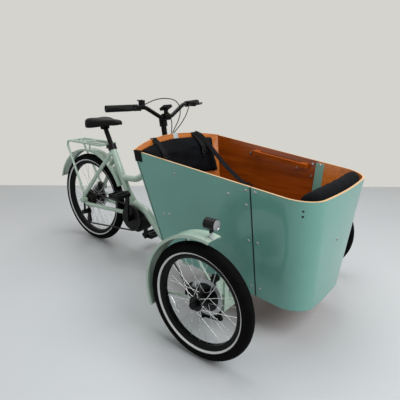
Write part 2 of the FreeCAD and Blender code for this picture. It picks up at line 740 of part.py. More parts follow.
def headlight(side):
    """Round headlight with its lens, on a bracket that stands on the mudguard."""
    centre = front_axle(side) + V(HEADLIGHT_X, 0, HEADLIGHT_RISE)
    back = centre - X_DIR * (HEADLIGHT_L / 2)
    front = centre + X_DIR * (HEADLIGHT_L / 2)
    housing = rod_between(back, front, HEADLIGHT_R)
    rim_start = front - X_DIR * LENS_T
    housing = housing.cut(rod_between(rim_start, front + X_DIR * OVERRUN, HEADLIGHT_R - GUARD_T))
    lens = rod_between(rim_start, front - X_DIR * (LENS_T / 2), HEADLIGHT_R - GUARD_T - CLEAR)
    under = guard_centre(side)
    guard_top = FRONT_WHEEL_R + FRONT_GUARD_GAP + GUARD_T
    post = Part.makeBox(LAMP_FOOT_T, LAMP_FOOT_W, centre.z - under.z,
                        V(centre.x - LAMP_FOOT_T / 2, centre.y - LAMP_FOOT_W / 2, under.z))
    foot = sector(under, guard_top, guard_top + LAMP_FOOT_T / 2, LAMP_FOOT_W / 2,
                  FRONT_GUARD_FROM, FRONT_GUARD_FROM + LAMP_FOOT_SPAN)
    bracket = post.cut(rod_space_y(under, guard_top)).fuse(foot).removeSplitter()
    return group([housing, lens, bracket.cut(rod_between(back, front, HEADLIGHT_R))])


def rod_space_y(centre, radius):
    """Long round space about the Y direction."""
    reach = Y_DIR * HALF_TRACK
    return rod_between(centre - reach, centre + reach, radius)


# Frame

def seat_tube():
    """Seat tube from the motor to the seat clamp."""
    start = seat_point(SEAT_TUBE_FROM)
    end = seat_point(SEAT_TUBE_TO)
    tube = ring_between(start, end, SEAT_TUBE_R, SEAT_POST_R + RUNNING)
    return tube.cut(motor_space())


def seat_tube_space():
    """Outer envelope of the seat tube, for tubes that are coped to it."""
    return rod_between(seat_point(SEAT_TUBE_FROM), seat_point(SEAT_TUBE_TO), SEAT_TUBE_R)


def head_sleeves(bore):
    """Upper and lower head tubes, as sleeves or, with no bore, as envelopes."""
    sleeves = []
    for height, length in ((UPPER_HEAD_Z, UPPER_HEAD_L), (LOWER_HEAD_Z, LOWER_HEAD_L)):
        middle = axis_point(height)
        ends = middle - AXIS_UP * (length / 2), middle + AXIS_UP * (length / 2)
        sleeves.append(ring_between(*ends, HEAD_TUBE_R, bore) if bore else rod_between(*ends, HEAD_TUBE_R))
    return sleeves


def head_frame():
    """Curved top tube, both head tubes, and the lug that holds the box's rear panel."""
    start = seat_point(TOP_TUBE_AT)
    level = start + V(TOP_TUBE_RUN, 0, TOP_TUBE_RISE)
    end = axis_point(UPPER_HEAD_Z)
    tube = tube_along([start, level, end], [TOP_TUBE_BEND], TOP_TUBE_R)
    upper, lower = head_sleeves(COLUMN_R + RUNNING)
    envelopes = head_sleeves(0)
    tube = tube.cut(envelopes[0]).cut(seat_tube_space())
    lug_start = axis_point(UPPER_HEAD_Z)
    lug_end = rear_panel_x(UPPER_HEAD_Z - TOP_TUBE_R)
    lug = Part.makeBox(lug_end - lug_start.x, HEAD_TUBE_R, TOP_TUBE_R * 2,
                       V(lug_start.x, -HEAD_TUBE_R / 2, UPPER_HEAD_Z - TOP_TUBE_R))
    lug = lug.cut(envelopes[0]).cut(box_loft(0.0, BOX_FOOT_Z, BOX_LOFT_TOP_Z))
    return group([fuse([upper, tube, lug]), lower])


def down_tube_points():
    """Corner points of the down tube, from the seat tube to the axle beam."""
    start = seat_point(DOWN_TUBE_AT)
    knee = start + V(DOWN_TUBE_STEP, 0, -DOWN_TUBE_DROP)
    shelf = knee + V(DOWN_TUBE_SHELF, 0, -DOWN_TUBE_SHELF_DROP)
    return [start, knee, shelf, V(DOWN_TUBE_FOOT_X, 0, BEAM_Z),
            V(WHEELBASE - BEAM_SIZE / 2, 0, BEAM_Z)]


def down_tube():
    """Down tube under the box, with the rear cross bearer that the floor rests on."""
    points = down_tube_points()
    bar = bar_along(points, DOWN_TUBE_BENDS, DOWN_TUBE_R)
    tube = bar.cut(bar_along(points, DOWN_TUBE_BENDS, DOWN_TUBE_R - TUBE_WALL))
    tube = tube.cut(seat_tube_space()).cut(motor_space())
    head = axis_point(LOWER_HEAD_Z)
    column = rod_between(head - AXIS_UP * LOWER_HEAD_L, head + AXIS_UP * LOWER_HEAD_L, COLUMN_R + CLEAR)
    tube = tube.cut(head_sleeves(0)[1]).cut(column)
    low = BEAM_Z + DOWN_TUBE_R / 2
    ends = (BEARER_X, BEARER_X + BEARER_L)
    outline = [V(ends[0], -BEARER_HALF, low), V(ends[1], -BEARER_HALF, low),
               V(ends[1], -BEARER_HALF, floor_height(ends[1])), V(ends[0], -BEARER_HALF, floor_height(ends[0]))]
    bearer = polygon_face(outline).extrude(Y_DIR * (2 * BEARER_HALF)).cut(bar)
    return group([tube, bearer])


def stay_bar(side, radius):
    """One bent stay from the seat tube round the axle to the motor."""
    start = seat_point(STAY_TOP_AT) + Y_DIR * (side * STAY_TOP_Y)
    corner = V(STAY_CORNER_X, side * STAY_Y, REAR_WHEEL_R - STAY_CORNER_DROP)
    end = V(STAY_FRONT_X + MOTOR_R, side * STAY_FRONT_Y, corner.z)
    return bar_along([start, corner, end], [STAY_BEND], radius)


def rear_stays():
    """One bent stay loop each side, with its axle boss, and the rear axle between them."""
    reach = STAY_Y + STAY_R
    axle = rod_between(REAR_AXLE - Y_DIR * reach, REAR_AXLE + Y_DIR * reach, REAR_AXLE_R)
    loops = []
    nuts = []
    for side in SIDES.values():
        bar = stay_bar(side, STAY_R)
        bar = bar.cut(seat_tube_space()).cut(clamp_space()).cut(motor_space())
        boss = rod_between(V(0, side * STAY_Y - DROPOUT_T / 2, REAR_WHEEL_R),
                           V(0, side * STAY_Y + DROPOUT_T / 2, REAR_WHEEL_R), DROPOUT_R)
        loops.append(fuse([bar, boss]).cut(axle))
        nuts.append(rod_between(REAR_AXLE + Y_DIR * (side * reach),
                                REAR_AXLE + Y_DIR * (side * (reach + AXLE_NUT_L)), AXLE_NUT_R))
    return group(loops + [fuse([axle] + nuts)])


def rack():
    """Rear carrier: two bent side rails, cross bars and two deck rods."""
    rails = []
    for side in SIDES.values():
        front = V(RACK_FRONT_X, side * RACK_HALF, RACK_Z)
        rear = V(RACK_REAR_X, side * RACK_HALF, RACK_Z)
        foot = V(RACK_FOOT_X, side * STAY_Y, REAR_WHEEL_R + RACK_FOOT_RISE)
        rails.append(bar_along([front, rear, foot], [RACK_BEND], RACK_R))
    span = RACK_FRONT_X - RACK_REAR_X - RACK_BEND - RACK_R
    bars = []
    for share in RACK_CROSS_SHARES:
        x = RACK_REAR_X + RACK_BEND + RACK_R + span * share
        bars.append(rod_between(V(x, -RACK_HALF, RACK_Z), V(x, RACK_HALF, RACK_Z), RACK_BAR_R))
    rear_x = RACK_REAR_X + RACK_BEND + RACK_R
    for share in RACK_ROD_SHARES:
        y = share * RACK_HALF
        bars.append(rod_between(V(rear_x, y, RACK_Z), V(rear_x + span, y, RACK_Z), RACK_ROD_R))
    seat_x = seat_point((RACK_Z - BB_Z) / SEAT_UP.z).x
    tongue = rod_between(V(rear_x + span * RACK_CROSS_SHARES[-1], 0, RACK_Z), V(seat_x, 0, RACK_Z), RACK_R)
    bars.append(tongue.cut(seat_tube_space()).cut(seat_clamp()))
    shape = fuse(rails + bars)
    return shape.cut(rear_stays()).cut(seat_post_space())


def rear_guard():
    """Rear mudguard with the post that hangs it from the rack."""
    shell = guard_strip(REAR_AXLE, REAR_WHEEL_R, GUARD_GAP, GUARD_HALF, REAR_GUARD_FROM, REAR_GUARD_TO)
    span = RACK_FRONT_X - RACK_REAR_X - RACK_BEND - RACK_R
    x = RACK_REAR_X + RACK_BEND + RACK_R + span * RACK_CROSS_SHARES[1]
    outer = REAR_WHEEL_R + GUARD_GAP + GUARD_T / 2
    low = REAR_WHEEL_R + math.sqrt(outer ** 2 - x ** 2)
    post = rod_between(V(x, 0, low), V(x, 0, RACK_Z), GUARD_POST_R)
    shape = fuse([shell, post]).cut(rack()).cut(seat_tube_space())
    for side in SIDES.values():
        shape = shape.cut(stay_bar(side, STAY_R + CLEAR))
    return shape


def rear_lights():
    """Round lamp and the long tail light that follows the rear mudguard."""
    outer = REAR_WHEEL_R + GUARD_GAP + GUARD_T
    knob = rod_between(polar(REAR_AXLE, REAR_WHEEL_R + GUARD_GAP, TAIL_ANGLES[0]),
                       polar(REAR_AXLE, outer + TAIL_T, TAIL_ANGLES[0]), TAIL_R)
    lamp = sector(REAR_AXLE, outer, outer + LAMP_T, LAMP_W / 2, *TAIL_ANGLES[1:])
    return group([knob.cut(rod_space_y(REAR_AXLE, outer)), lamp])


# Drive

def motor_outline():
    """Motor casing's solid with no bore."""
    nose = CRANK_AXIS + V(MOTOR_NOSE_X, 0, -MOTOR_NOSE_DROP)
    half = Y_DIR * MOTOR_HALF
    body = rod_between(CRANK_AXIS - half, CRANK_AXIS + half, MOTOR_R)
    return body.fuse(rod_between(nose - half, nose + half, MOTOR_NOSE_R))


def motor_space():
    """Space that frame tubes leave for the motor."""
    return motor_outline()


def drive_motor():
    """Mid motor casing, bored for the crank spindle."""
    bore = rod_between(CRANK_AXIS - Y_DIR * HALF_TRACK, CRANK_AXIS + Y_DIR * HALF_TRACK, SPINDLE_R + RUNNING)
    return motor_outline().removeSplitter().cut(bore)


def crank_end(side):
    """Pedal axis on the outer face of a crank: the right crank points up, the left one down."""
    angle = CRANK_PHASE if side < 0 else CRANK_PHASE + 180.0
    return polar(CRANK_AXIS, CRANK_L, angle, side * (SPINDLE_HALF + CRANK_T))


def cranks():
    """Spindle, both crank arms with their pedal pins, and the chainring."""
    pieces = [rod_between(CRANK_AXIS - Y_DIR * SPINDLE_HALF, CRANK_AXIS + Y_DIR * SPINDLE_HALF, SPINDLE_R)]
    for side in SIDES.values():
        inner = CRANK_AXIS + Y_DIR * (side * SPINDLE_HALF)
        outer = inner + Y_DIR * (side * CRANK_T)
        pieces.append(rod_between(inner, outer, CRANK_BOSS_R))
        tip = crank_end(side)
        pieces.append(rod_between(tip - Y_DIR * (side * CRANK_T), tip, CRANK_W / 2))
        arm_bar = Part.makeBox(CRANK_L, CRANK_T, CRANK_W, V(0, 0, -CRANK_W / 2))
        arm_bar.rotate(ORIGIN, Y_DIR * -1, CRANK_PHASE if side < 0 else CRANK_PHASE + 180.0)
        arm_bar.translate(V(CRANK_AXIS.x, min(inner.y, outer.y), CRANK_AXIS.z))
        pieces.append(arm_bar)
        pieces.append(rod_between(tip, tip + Y_DIR * (side * (PEDAL_L + PEDAL_GAP)), PEDAL_SPINDLE_R))
    ring_start = CRANK_AXIS - Y_DIR * (CHAINLINE + CHAINRING_T / 2)
    ring = ring_between(ring_start, ring_start + Y_DIR * CHAINRING_T, CHAINRING_R, SPINDLE_R)
    spider = ring_between(CRANK_AXIS - Y_DIR * SPINDLE_HALF, ring_start, CRANK_BOSS_R, SPINDLE_R)
    return group([fuse(pieces), ring, spider])


def pedal(side):
    """Platform pedal that turns on the crank's pedal pin."""
    start = crank_end(side) + Y_DIR * (side * PEDAL_GAP)
    middle = start + Y_DIR * (side * PEDAL_L / 2)
    body = block(middle, PEDAL_W, PEDAL_L, PEDAL_H)
    body = body.makeFillet(PEDAL_FILLET, [edge for edge in body.Edges if edge.tangentAt(edge.FirstParameter).y])
    windows = []
    for sign in (-1, 1):
        spot = middle + X_DIR * (sign * PEDAL_W / 4)
        windows.append(block(spot, PEDAL_W / 4, PEDAL_L - PEDAL_H, PEDAL_H + OVERRUN))
    bore = rod_between(start - Y_DIR * (side * OVERRUN), start + Y_DIR * (side * (PEDAL_L + OVERRUN)),
                       PEDAL_SPINDLE_R + RUNNING)
    return body.cut(windows[0]).cut(windows[1]).cut(bore)


def cassette():
    """Stepped sprockets that turn on the rear hub's freehub; the chain runs on the outermost."""
    bore = FREEHUB_R + RUNNING
    start = -(CHAINLINE + CHAIN_W / 2)
    first = CHAIN_W + CLEAR * 2
    step = (COG_T - first) / (len(COG_STEP_SHARES) - 1)
    outline = [(bore, start)]
    along = start
    for index, share in enumerate(COG_STEP_SHARES):
        outline.append((COG_R * share, along))
        along += step if index else first
        outline.append((COG_R * share, along))
    outline.append((bore, along))
    return turned(outline, REAR_AXLE)


def rear_hub():
    """Rear hub with its rotor on the left and the freehub body on the right."""
    bore = REAR_AXLE_R + RUNNING
    base = hub(REAR_AXLE, bore, 1)
    end = HUB_HALF_SPREAD + HUB_FLANGE_T / 2
    reach = CHAINLINE + CHAIN_W / 2 + DROPOUT_GAP
    freehub = ring_between(REAR_AXLE - Y_DIR * end, REAR_AXLE - Y_DIR * reach, FREEHUB_R, bore)
    return group(base.Solids + [freehub])


def belt_path(pulleys, y):
    """Closed wire round pulleys given as (x, z, radius, turn): turn is 1 anticlockwise, -1 clockwise."""
    touches = []
    count = len(pulleys)
    for index in range(count):
        x0, z0, r0, turn0 = pulleys[index]
        x1, z1, r1, turn1 = pulleys[(index + 1) % count]
        length = math.hypot(x1 - x0, z1 - z0)
        heading = math.atan2(z1 - z0, x1 - x0)
        normal = heading - math.acos((turn0 * r0 - turn1 * r1) / length)
        step = V(math.cos(normal), 0, math.sin(normal))
        touches.append((V(x0, y, z0) + step * (turn0 * r0), V(x1, y, z1) + step * (turn1 * r1)))
    edges = []
    for index in range(count):
        x0, z0, r0, turn0 = pulleys[index]
        arrive = touches[index - 1][1]
        leave = touches[index][0]
        centre = V(x0, y, z0)
        first = math.atan2(arrive.z - z0, arrive.x - x0)
        last = math.atan2(leave.z - z0, leave.x - x0)
        sweep = (last - first) * turn0 % (2 * math.pi)
        middle = polar(centre, r0, math.degrees(first + turn0 * sweep / 2))
        edges.append(Part.Arc(arrive, middle, leave).toShape())
        edges.append(Part.LineSegment(leave, touches[index][1]).toShape())
    return Part.Wire(edges)


def chain_pulleys(offset):
    """Pulleys of the chain's inner face, each radius grown for the side that the chain runs on."""
    lower = (JOCKEY_LOWER[0], REAR_WHEEL_R + JOCKEY_LOWER[1], JOCKEY_R + CLEAR + offset, 1)
    upper = (JOCKEY_UPPER[0], REAR_WHEEL_R + JOCKEY_UPPER[1], JOCKEY_R + CLEAR + CHAIN_H - offset, -1)
    cog = (0.0, REAR_WHEEL_R, COG_R + CLEAR + offset, 1)
    ring = (BB_X, BB_Z, CHAINRING_R + CLEAR + offset, 1)
    return [ring, cog, upper, lower]


def chain():
    """Closed chain round chainring, cog and both jockey wheels."""
    y = -CHAINLINE - CHAIN_W / 2
    outer = Part.Face(belt_path(chain_pulleys(CHAIN_H), y)).extrude(Y_DIR * CHAIN_W)
    inner = Part.Face(belt_path(chain_pulleys(0.0), y - OVERRUN)).extrude(Y_DIR * (CHAIN_W + 2 * OVERRUN))
    return outer.cut(inner)


def derailleur():
    """Hanger, body, cage plates and two jockey wheels."""
    centres = [REAR_AXLE + V(spot[0], -CHAINLINE, spot[1]) for spot in (JOCKEY_UPPER, JOCKEY_LOWER)]
    wheels = []
    for centre in centres:
        half = Y_DIR * (JOCKEY_T / 2)
        wheels.append(ring_between(centre - half, centre + half, JOCKEY_R, JOCKEY_PIN_R))
    plates = []
    gap = CHAIN_W / 2 + CLEAR
    for sign in (-1, 1):
        face_y = sign * gap if sign > 0 else -gap - CAGE_T
        ends = [centre + Y_DIR * face_y for centre in centres]
        plate = [rod_between(end, end + Y_DIR * CAGE_T, CAGE_W / 2) for end in ends]
        along = ends[1] - ends[0]
        across = along.cross(Y_DIR).normalize() * (CAGE_W / 2)
        outline = [ends[0] + across, ends[1] + across, ends[1] - across, ends[0] - across]
        plate.append(polygon_face(outline).extrude(Y_DIR * CAGE_T))
        plates.append(fuse(plate))
    pins = [rod_between(centre - Y_DIR * (gap + CAGE_T), centre + Y_DIR * (gap + CAGE_T), JOCKEY_PIN_R)
            for centre in centres]
    cage = fuse(plates + pins)
    body_start = centres[0] - Y_DIR * (gap + CAGE_T)
    body_end = V(body_start.x, -STAY_Y, body_start.z)
    hanger_top = REAR_AXLE + V(0, 0, -DROPOUT_R)
    hanger = rod_between(body_end, V(hanger_top.x, body_end.y, hanger_top.z), DERAILLEUR_BODY_R / 2)
    body = fuse([rod_between(body_start, body_end - Y_DIR * DERAILLEUR_BODY_R, DERAILLEUR_BODY_R), hanger])
    return group([cage, body.cut(cage).cut(rear_stays())] + wheels)


def rear_caliper():
    """Rear brake caliper with the foot that bolts it to the left stay."""
    centre = REAR_AXLE + Y_DIR * rotor_y()
    grip = caliper(centre, REAR_CALIPER_ANGLE)
    reach = STAY_Y - rotor_y()
    foot = Part.makeBox(CALIPER_L / 2, reach, CALIPER_H / 2,
                        V(ROTOR_R - ROTOR_GRIP, CALIPER_SLOT, -CALIPER_H / 4))
    foot.rotate(ORIGIN, Y_DIR * -1, REAR_CALIPER_ANGLE)
    foot.translate(centre)
    return fuse([grip, foot]).cut(rear_stays())


# Seat

def seat_post_space():
    """Envelope of the seat post and its clamp, for neighbours that leave room for them."""
    return rod_between(seat_point(SEAT_TUBE_TO), seat_point(SEAT_TUBE_TO * 2), SEAT_POST_R + CLEAR)


def clamp_space():
    """Envelope of the seat clamp."""
    top = seat_point(SEAT_TUBE_TO)
    return rod_between(top - SEAT_UP * CLAMP_H, top, CLAMP_R)


def seat_clamp():
    """Clamp collar round the seat tube's top, with its bolt lug."""
    top = seat_point(SEAT_TUBE_TO)
    ring = ring_between(top - SEAT_UP * CLAMP_H, top, CLAMP_R, SEAT_TUBE_R)
    lug = block(top - SEAT_UP * (CLAMP_H / 2) - X_DIR * CLAMP_R, CLAMP_H / 2, CLAMP_H, CLAMP_H / 2)
    return fuse([ring, lug]).cut(seat_tube_space()).cut(seat_post_space())


def rail_height():
    """Height of the saddle rails, inside the pocket under the saddle."""
    return SADDLE_TOP_Z - SADDLE_PAD_T - SADDLE_RAIL_R * 2


def saddle_x(share):
    """X at a share of the saddle's length from its tail."""
    head_x = seat_point((rail_height() - BB_Z) / SEAT_UP.z).x
    return head_x + SADDLE_NOSE_AHEAD - SADDLE_L * (1 - share)


def saddle_rails():
    """Two rails that end inside the saddle's base."""
    rails = []
    for side in SIDES.values():
        ends = [saddle_x(share) for share in SADDLE_POCKET_SHARES]
        rails.append(rod_between(V(ends[0] - SADDLE_RAIL_GRIP, side * SADDLE_RAIL_Y, rail_height()),
                                 V(ends[1] + SADDLE_RAIL_GRIP, side * SADDLE_RAIL_Y, rail_height()),
                                 SADDLE_RAIL_R))
    return rails


def seat_post():
    """Seat post with its head and the two saddle rails."""
    low = seat_point(SEAT_TUBE_TO / 2)
    head = seat_point((rail_height() - POST_HEAD_R - BB_Z) / SEAT_UP.z)
    reach = Y_DIR * (SADDLE_RAIL_Y + SADDLE_RAIL_R)
    pieces = [rod_between(low, head, SEAT_POST_R), rod_between(head - reach, head + reach, POST_HEAD_R)]
    return fuse(pieces + saddle_rails())


def saddle():
    """Padded saddle: wide crowned tail drawn in to a narrow nose, hollow under the middle."""
    sections = []
    for station, width, depth, drop in zip(SADDLE_STATION_SHARES, SADDLE_WIDTH_SHARES,
                                           SADDLE_DEPTH_SHARES, SADDLE_DROP_SHARES):
        x = saddle_x(station)
        half = SADDLE_W / 2 * width
        top = SADDLE_TOP_Z - SADDLE_H * drop
        low = SADDLE_TOP_Z - SADDLE_H * depth
        shoulder = top - (top - low) * SADDLE_CROWN_SHARE
        right = [V(x, -half * SADDLE_FOOT_SHARE, low), V(x, -half, (shoulder + low) / 2),
                 V(x, -half * SADDLE_SHOULDER_SHARE, shoulder)]
        left = [V(x, -corner.y, corner.z) for corner in right]
        edges = [Part.Arc(*right).toShape(),
                 Part.Arc(right[2], V(x, 0, top), left[2]).toShape(),
                 Part.Arc(left[2], left[1], left[0]).toShape(),
                 Part.LineSegment(left[0], right[0]).toShape()]
        sections.append(Part.Wire(edges))
    ends = [saddle_x(share) for share in SADDLE_POCKET_SHARES]
    pocket = Part.makeBox(ends[1] - ends[0], 2 * SADDLE_POCKET_HALF, SADDLE_H - SADDLE_PAD_T + OVERRUN,
                          V(ends[0], -SADDLE_POCKET_HALF, SADDLE_TOP_Z - SADDLE_H - OVERRUN))
    return Part.makeLoft(sections, True, False).cut(pocket).cut(group(saddle_rails()))


# Box

def floor_height(x):
    """Height of the underside of the sloping floor."""
    return BOX_FOOT_Z + (BOX_FOOT_FRONT_X - x) * BOX_FALL


def rim_height(x):
    """Height of the side panels' sloping rim."""
    return RIM_Z - (x - RIM_X) * BOX_FALL


def side_half(z):
    """Half width of the box's outside at a height."""
    return BOX_FOOT_HALF + (z - BOX_FOOT_Z) * SIDE_LEAN


def front_panel_x(z):
    """Foremost X of the front panel's outside at a height."""
    return BOX_FOOT_FRONT_X + (z - BOX_FOOT_Z) * FRONT_LEAN


def rear_panel_x(z, y=0.0):
    """X of the rear panel's outside at a height and a distance from the middle."""
    share = y / side_half(z)
    return REAR_FOOT_X - (z - BOX_FOOT_Z) * REAR_LEAN + REAR_BOW * share ** 2


def rear_rim_height(y):
    """Height of the rear panel's arched rim."""
    return RIM_Z + REAR_ARCH * (1 - (y / side_half(RIM_Z)) ** 2)


def front_outline(z, inset):
    """The front's bow and corner at a height: half width, radii, centres along X, and turn at their touch."""
    half = side_half(z) - inset
    bow = FRONT_BOW_R - inset
    radius = CORNER_R - inset
    bow_x = front_panel_x(z) - inset - bow
    corner_x = bow_x + math.sqrt((bow - radius) ** 2 - (half - radius) ** 2)
    turn = math.atan2(half - radius, corner_x - bow_x)
    return half, bow, radius, bow_x, corner_x, turn


def front_wall(z, across, inset):
    """X of the front's wall at a height and a distance from the middle, and its angle there."""
    half, bow, radius, bow_x, corner_x, turn = front_outline(z, inset)
    if across < bow * math.sin(turn):
        slope = math.asin(across / bow)
        return bow_x + bow * math.cos(slope), slope
    slope = math.asin((across - half + radius) / radius)
    return corner_x + radius * math.cos(slope), slope


def box_section(z, inset, rear_inset):
    """Outline of the box at a height, drawn in from the outside by an inset."""
    half, bow, radius, bow_x, corner_x, turn = front_outline(z, inset)
    rear_mid = rear_panel_x(z) + rear_inset
    middle = (turn + math.pi / 2) / 2
    right = [V(rear_mid + REAR_BOW, -half, z), V(corner_x, -half, z),
             V(corner_x + radius * math.cos(middle), radius - half - radius * math.sin(middle), z),
             V(bow_x + bow * math.cos(turn), -bow * math.sin(turn), z)]
    left = [V(point.x, -point.y, z) for point in right]
    edges = [Part.LineSegment(right[0], right[1]).toShape(),
             Part.Arc(right[1], right[2], right[3]).toShape(),
             Part.Arc(right[3], V(bow_x + bow, 0, z), left[3]).toShape(),
             Part.Arc(left[3], left[2], left[1]).toShape(),
             Part.LineSegment(left[1], left[0]).toShape(),
             Part.Arc(left[0], V(rear_mid, 0, z), right[0]).toShape()]
    return Part.Wire(edges)


def box_loft(inset, low, high, rear_inset=None):
    """Solid inside the box's leaning faces, between two heights."""
    rear = inset if rear_inset is None else rear_inset
    sections = [box_section(z, inset, rear) for z in (low, high)]
    return Part.makeLoft(sections, True, True)


def slope_slab(low_offset, high_offset, from_x, to_x, height=floor_height):
    """Slab across the box between two offsets from a sloping height, in a range of X."""
    points = [V(x, -HALF_TRACK, height(x) + offset) for x, offset in
              ((from_x, low_offset), (to_x, low_offset), (to_x, high_offset), (from_x, high_offset))]
    return polygon_face(points).extrude(Y_DIR * (2 * HALF_TRACK))


BOX_REAR_LIMIT = HEAD_X
BOX_FRONT_LIMIT = BOX_FOOT_FRONT_X * 2 - SEAM_X
BOX_DEPTH_LIMIT = BOX_LOFT_TOP_Z


def side_shell(grow=0.0):
    """Side and front walls in one, with their sloping rim and foot, grown by a thickness."""
    low = BOX_FOOT_Z - OVERRUN
    outer = box_loft(-grow, low, BOX_LOFT_TOP_Z, BOX_WALL + SEAM_GAP)
    inner = box_loft(BOX_WALL + grow, low - OVERRUN, BOX_LOFT_TOP_Z + OVERRUN, -BOX_WALL)
    shell = outer.cut(inner)
    shell = shell.common(slope_slab(0.0, BOX_DEPTH_LIMIT, BOX_REAR_LIMIT, BOX_FRONT_LIMIT))
    return shell.common(slope_slab(-BOX_DEPTH_LIMIT, grow, BOX_REAR_LIMIT, BOX_FRONT_LIMIT, rim_height))


def x_range(from_x, to_x):
    """Everything between two X values."""
    return Part.makeBox(to_x - from_x, 2 * HALF_TRACK, BOX_DEPTH_LIMIT * 2, V(from_x, -HALF_TRACK, -OVERRUN))


def side_panel(side):
    """Flat side panel from the rear corner to the seam."""
    part = side_shell().common(x_range(BOX_REAR_LIMIT, SEAM_X - SEAM_GAP / 2))
    wall = [solid for solid in part.Solids if solid.CenterOfMass.y < 0]
    panel = wall[0].cut(screw_holes())
    return mirrored(panel) if side > 0 else panel


def front_panel():
    """Front panel bent round both front corners."""
    part = side_shell().common(x_range(SEAM_X + SEAM_GAP / 2, BOX_FRONT_LIMIT))
    return part.Solids[0].cut(screw_holes())


def rear_panel(grow=0.0):
    """Bowed rear panel with an arched rim, grown by a thickness."""
    low = BOX_FOOT_Z - OVERRUN
    outer = box_loft(0.0, low, BOX_LOFT_TOP_Z, -grow)
    ahead = box_loft(-OVERRUN, low - OVERRUN, BOX_LOFT_TOP_Z + OVERRUN, BOX_WALL + grow)
    panel = outer.cut(ahead)
    panel = panel.common(slope_slab(0.0, BOX_DEPTH_LIMIT, BOX_REAR_LIMIT, BOX_FRONT_LIMIT))
    half = side_half(RIM_Z)
    rim_z = RIM_Z + grow
    ends = [V(BOX_REAR_LIMIT, sign * half, rim_z) for sign in (-1, 1)]
    arch = Part.Arc(ends[0], V(BOX_REAR_LIMIT, 0, rim_z + REAR_ARCH), ends[1]).toShape()
    low_line = [ends[1], V(BOX_REAR_LIMIT, half * 2, rim_z), V(BOX_REAR_LIMIT, half * 2, 0),
                V(BOX_REAR_LIMIT, -half * 2, 0), V(BOX_REAR_LIMIT, -half * 2, rim_z), ends[0]]
    face = Part.Face(Part.Wire([arch] + Part.makePolygon(low_line).Edges))
    return panel.common(face.extrude(X_DIR * (BOX_FRONT_LIMIT - BOX_REAR_LIMIT)))


def box_inside(gap=0.0):
    """Space inside the walls that loose boards fill, less a gap."""
    return box_loft(BOX_WALL + gap, BOX_FOOT_Z - OVERRUN, BOX_LOFT_TOP_Z)


def box_floor():
    """Floor boards under and ahead of the bench, bench board and the riser that carries the bench."""
    inside = box_inside()
    bench_low = FLOOR_T + BENCH_RISE
    bench = inside.common(slope_slab(bench_low, bench_low + BENCH_T, BOX_REAR_LIMIT, BENCH_FRONT_X))
    riser_x = BENCH_FRONT_X - RISER_INSET
    riser = inside.common(slope_slab(FLOOR_T, bench_low, riser_x - BENCH_T, riser_x))
    rear_floor = inside.common(slope_slab(0.0, FLOOR_T, BOX_REAR_LIMIT, riser_x))
    cargo_floor = box_inside(CLEAR).common(slope_slab(0.0, FLOOR_T, riser_x, BOX_FRONT_LIMIT))
    return group([cargo_floor, rear_floor, bench, riser])


def battery_pack():
    """Battery case on the floor under the bench."""
    slab = slope_slab(FLOOR_T, FLOOR_T + BATTERY_H, BATTERY_X, BATTERY_X + BATTERY_L)
    return slab.common(block(V(BATTERY_X, 0, 0), BOX_DEPTH_LIMIT, 2 * BATTERY_HALF, BOX_DEPTH_LIMIT * 2))


def seam_strips():
    """Backing strip behind each seam, inside the walls."""
    low = BOX_FOOT_Z - OVERRUN
    ring = box_loft(BOX_WALL, low, BOX_LOFT_TOP_Z).cut(
        box_loft(BOX_WALL + STRIP_T, low - OVERRUN, BOX_LOFT_TOP_Z + OVERRUN))
    span = (SEAM_X - STRIP_BACK, SEAM_X + STRIP_AHEAD)
    strip = ring.common(slope_slab(FLOOR_T + STRIP_FOOT_GAP, BOX_DEPTH_LIMIT, *span))
    strip = strip.common(slope_slab(-BOX_DEPTH_LIMIT, -STRIP_END, *span, rim_height))
    return group([strip.cut(screw_holes())])


def panel_height(x, down):
    """Height on a side panel, as a share of the way from its rim down to the floor."""
    return rim_height(x) - (rim_height(x) - floor_height(x)) * down


def side_screw_spots():
    """Places of the screws on the right side as (x, z)."""
    spots = []
    for along, down in WALL_SCREW_SHARES:
        x = RIM_X + (SEAM_X - RIM_X) * along
        spots.append((x, panel_height(x, down)))
    behind = SEAM_X - SEAM_SCREW_OFFSET
    spots.append((behind, panel_height(behind, LONE_SEAM_SCREW_SHARE)))
    for down in SEAM_SCREW_SHARES:
        for sign in (-1, 1):
            spots.append((SEAM_X + sign * SEAM_SCREW_OFFSET, panel_height(SEAM_X, down)))
    return spots


def screw_axes():
    """Point on the outside and inward direction of each screw on both sides."""
    inward = V(0, 1, SIDE_LEAN).normalize()
    axes = []
    for x, z in side_screw_spots():
        for side in SIDES.values():
            axes.append((V(x, side * side_half(z), z), V(0, -side * inward.y, inward.z)))
    return axes


def screw_holes():
    """Clearance holes for all panel screws."""
    holes = []
    for spot, inward in screw_axes():
        reach = inward * (BOX_WALL + STRIP_T)
        holes.append(rod_between(spot - reach, spot + reach + reach, SCREW_R + SCREW_HOLE_GAP))
    return group(holes)


def panel_screws():
    """Domed screws through the panels, each with its nut inside."""
    screws = []
    for spot, inward in screw_axes():
        behind_strip = -STRIP_BACK < spot.x - SEAM_X < STRIP_AHEAD
        grip = (BOX_WALL + (STRIP_T if behind_strip else 0.0)) / math.sqrt(1 + SIDE_LEAN ** 2)
        dome_r = (SCREW_HEAD_R ** 2 + SCREW_HEAD_H ** 2) / (2 * SCREW_HEAD_H)
        ball = Part.makeSphere(dome_r, spot + inward * (dome_r - SCREW_HEAD_H))
        head = ball.common(rod_between(spot - inward * SCREW_HEAD_H * 2, spot, SCREW_HEAD_R * 2))
        shank = rod_between(spot, spot + inward * (grip + NUT_H), SCREW_R)
        nut = rod_between(spot + inward * grip, spot + inward * (grip + NUT_H), NUT_R)
        screws.append(fuse([head, shank, nut]))
    return group(screws)


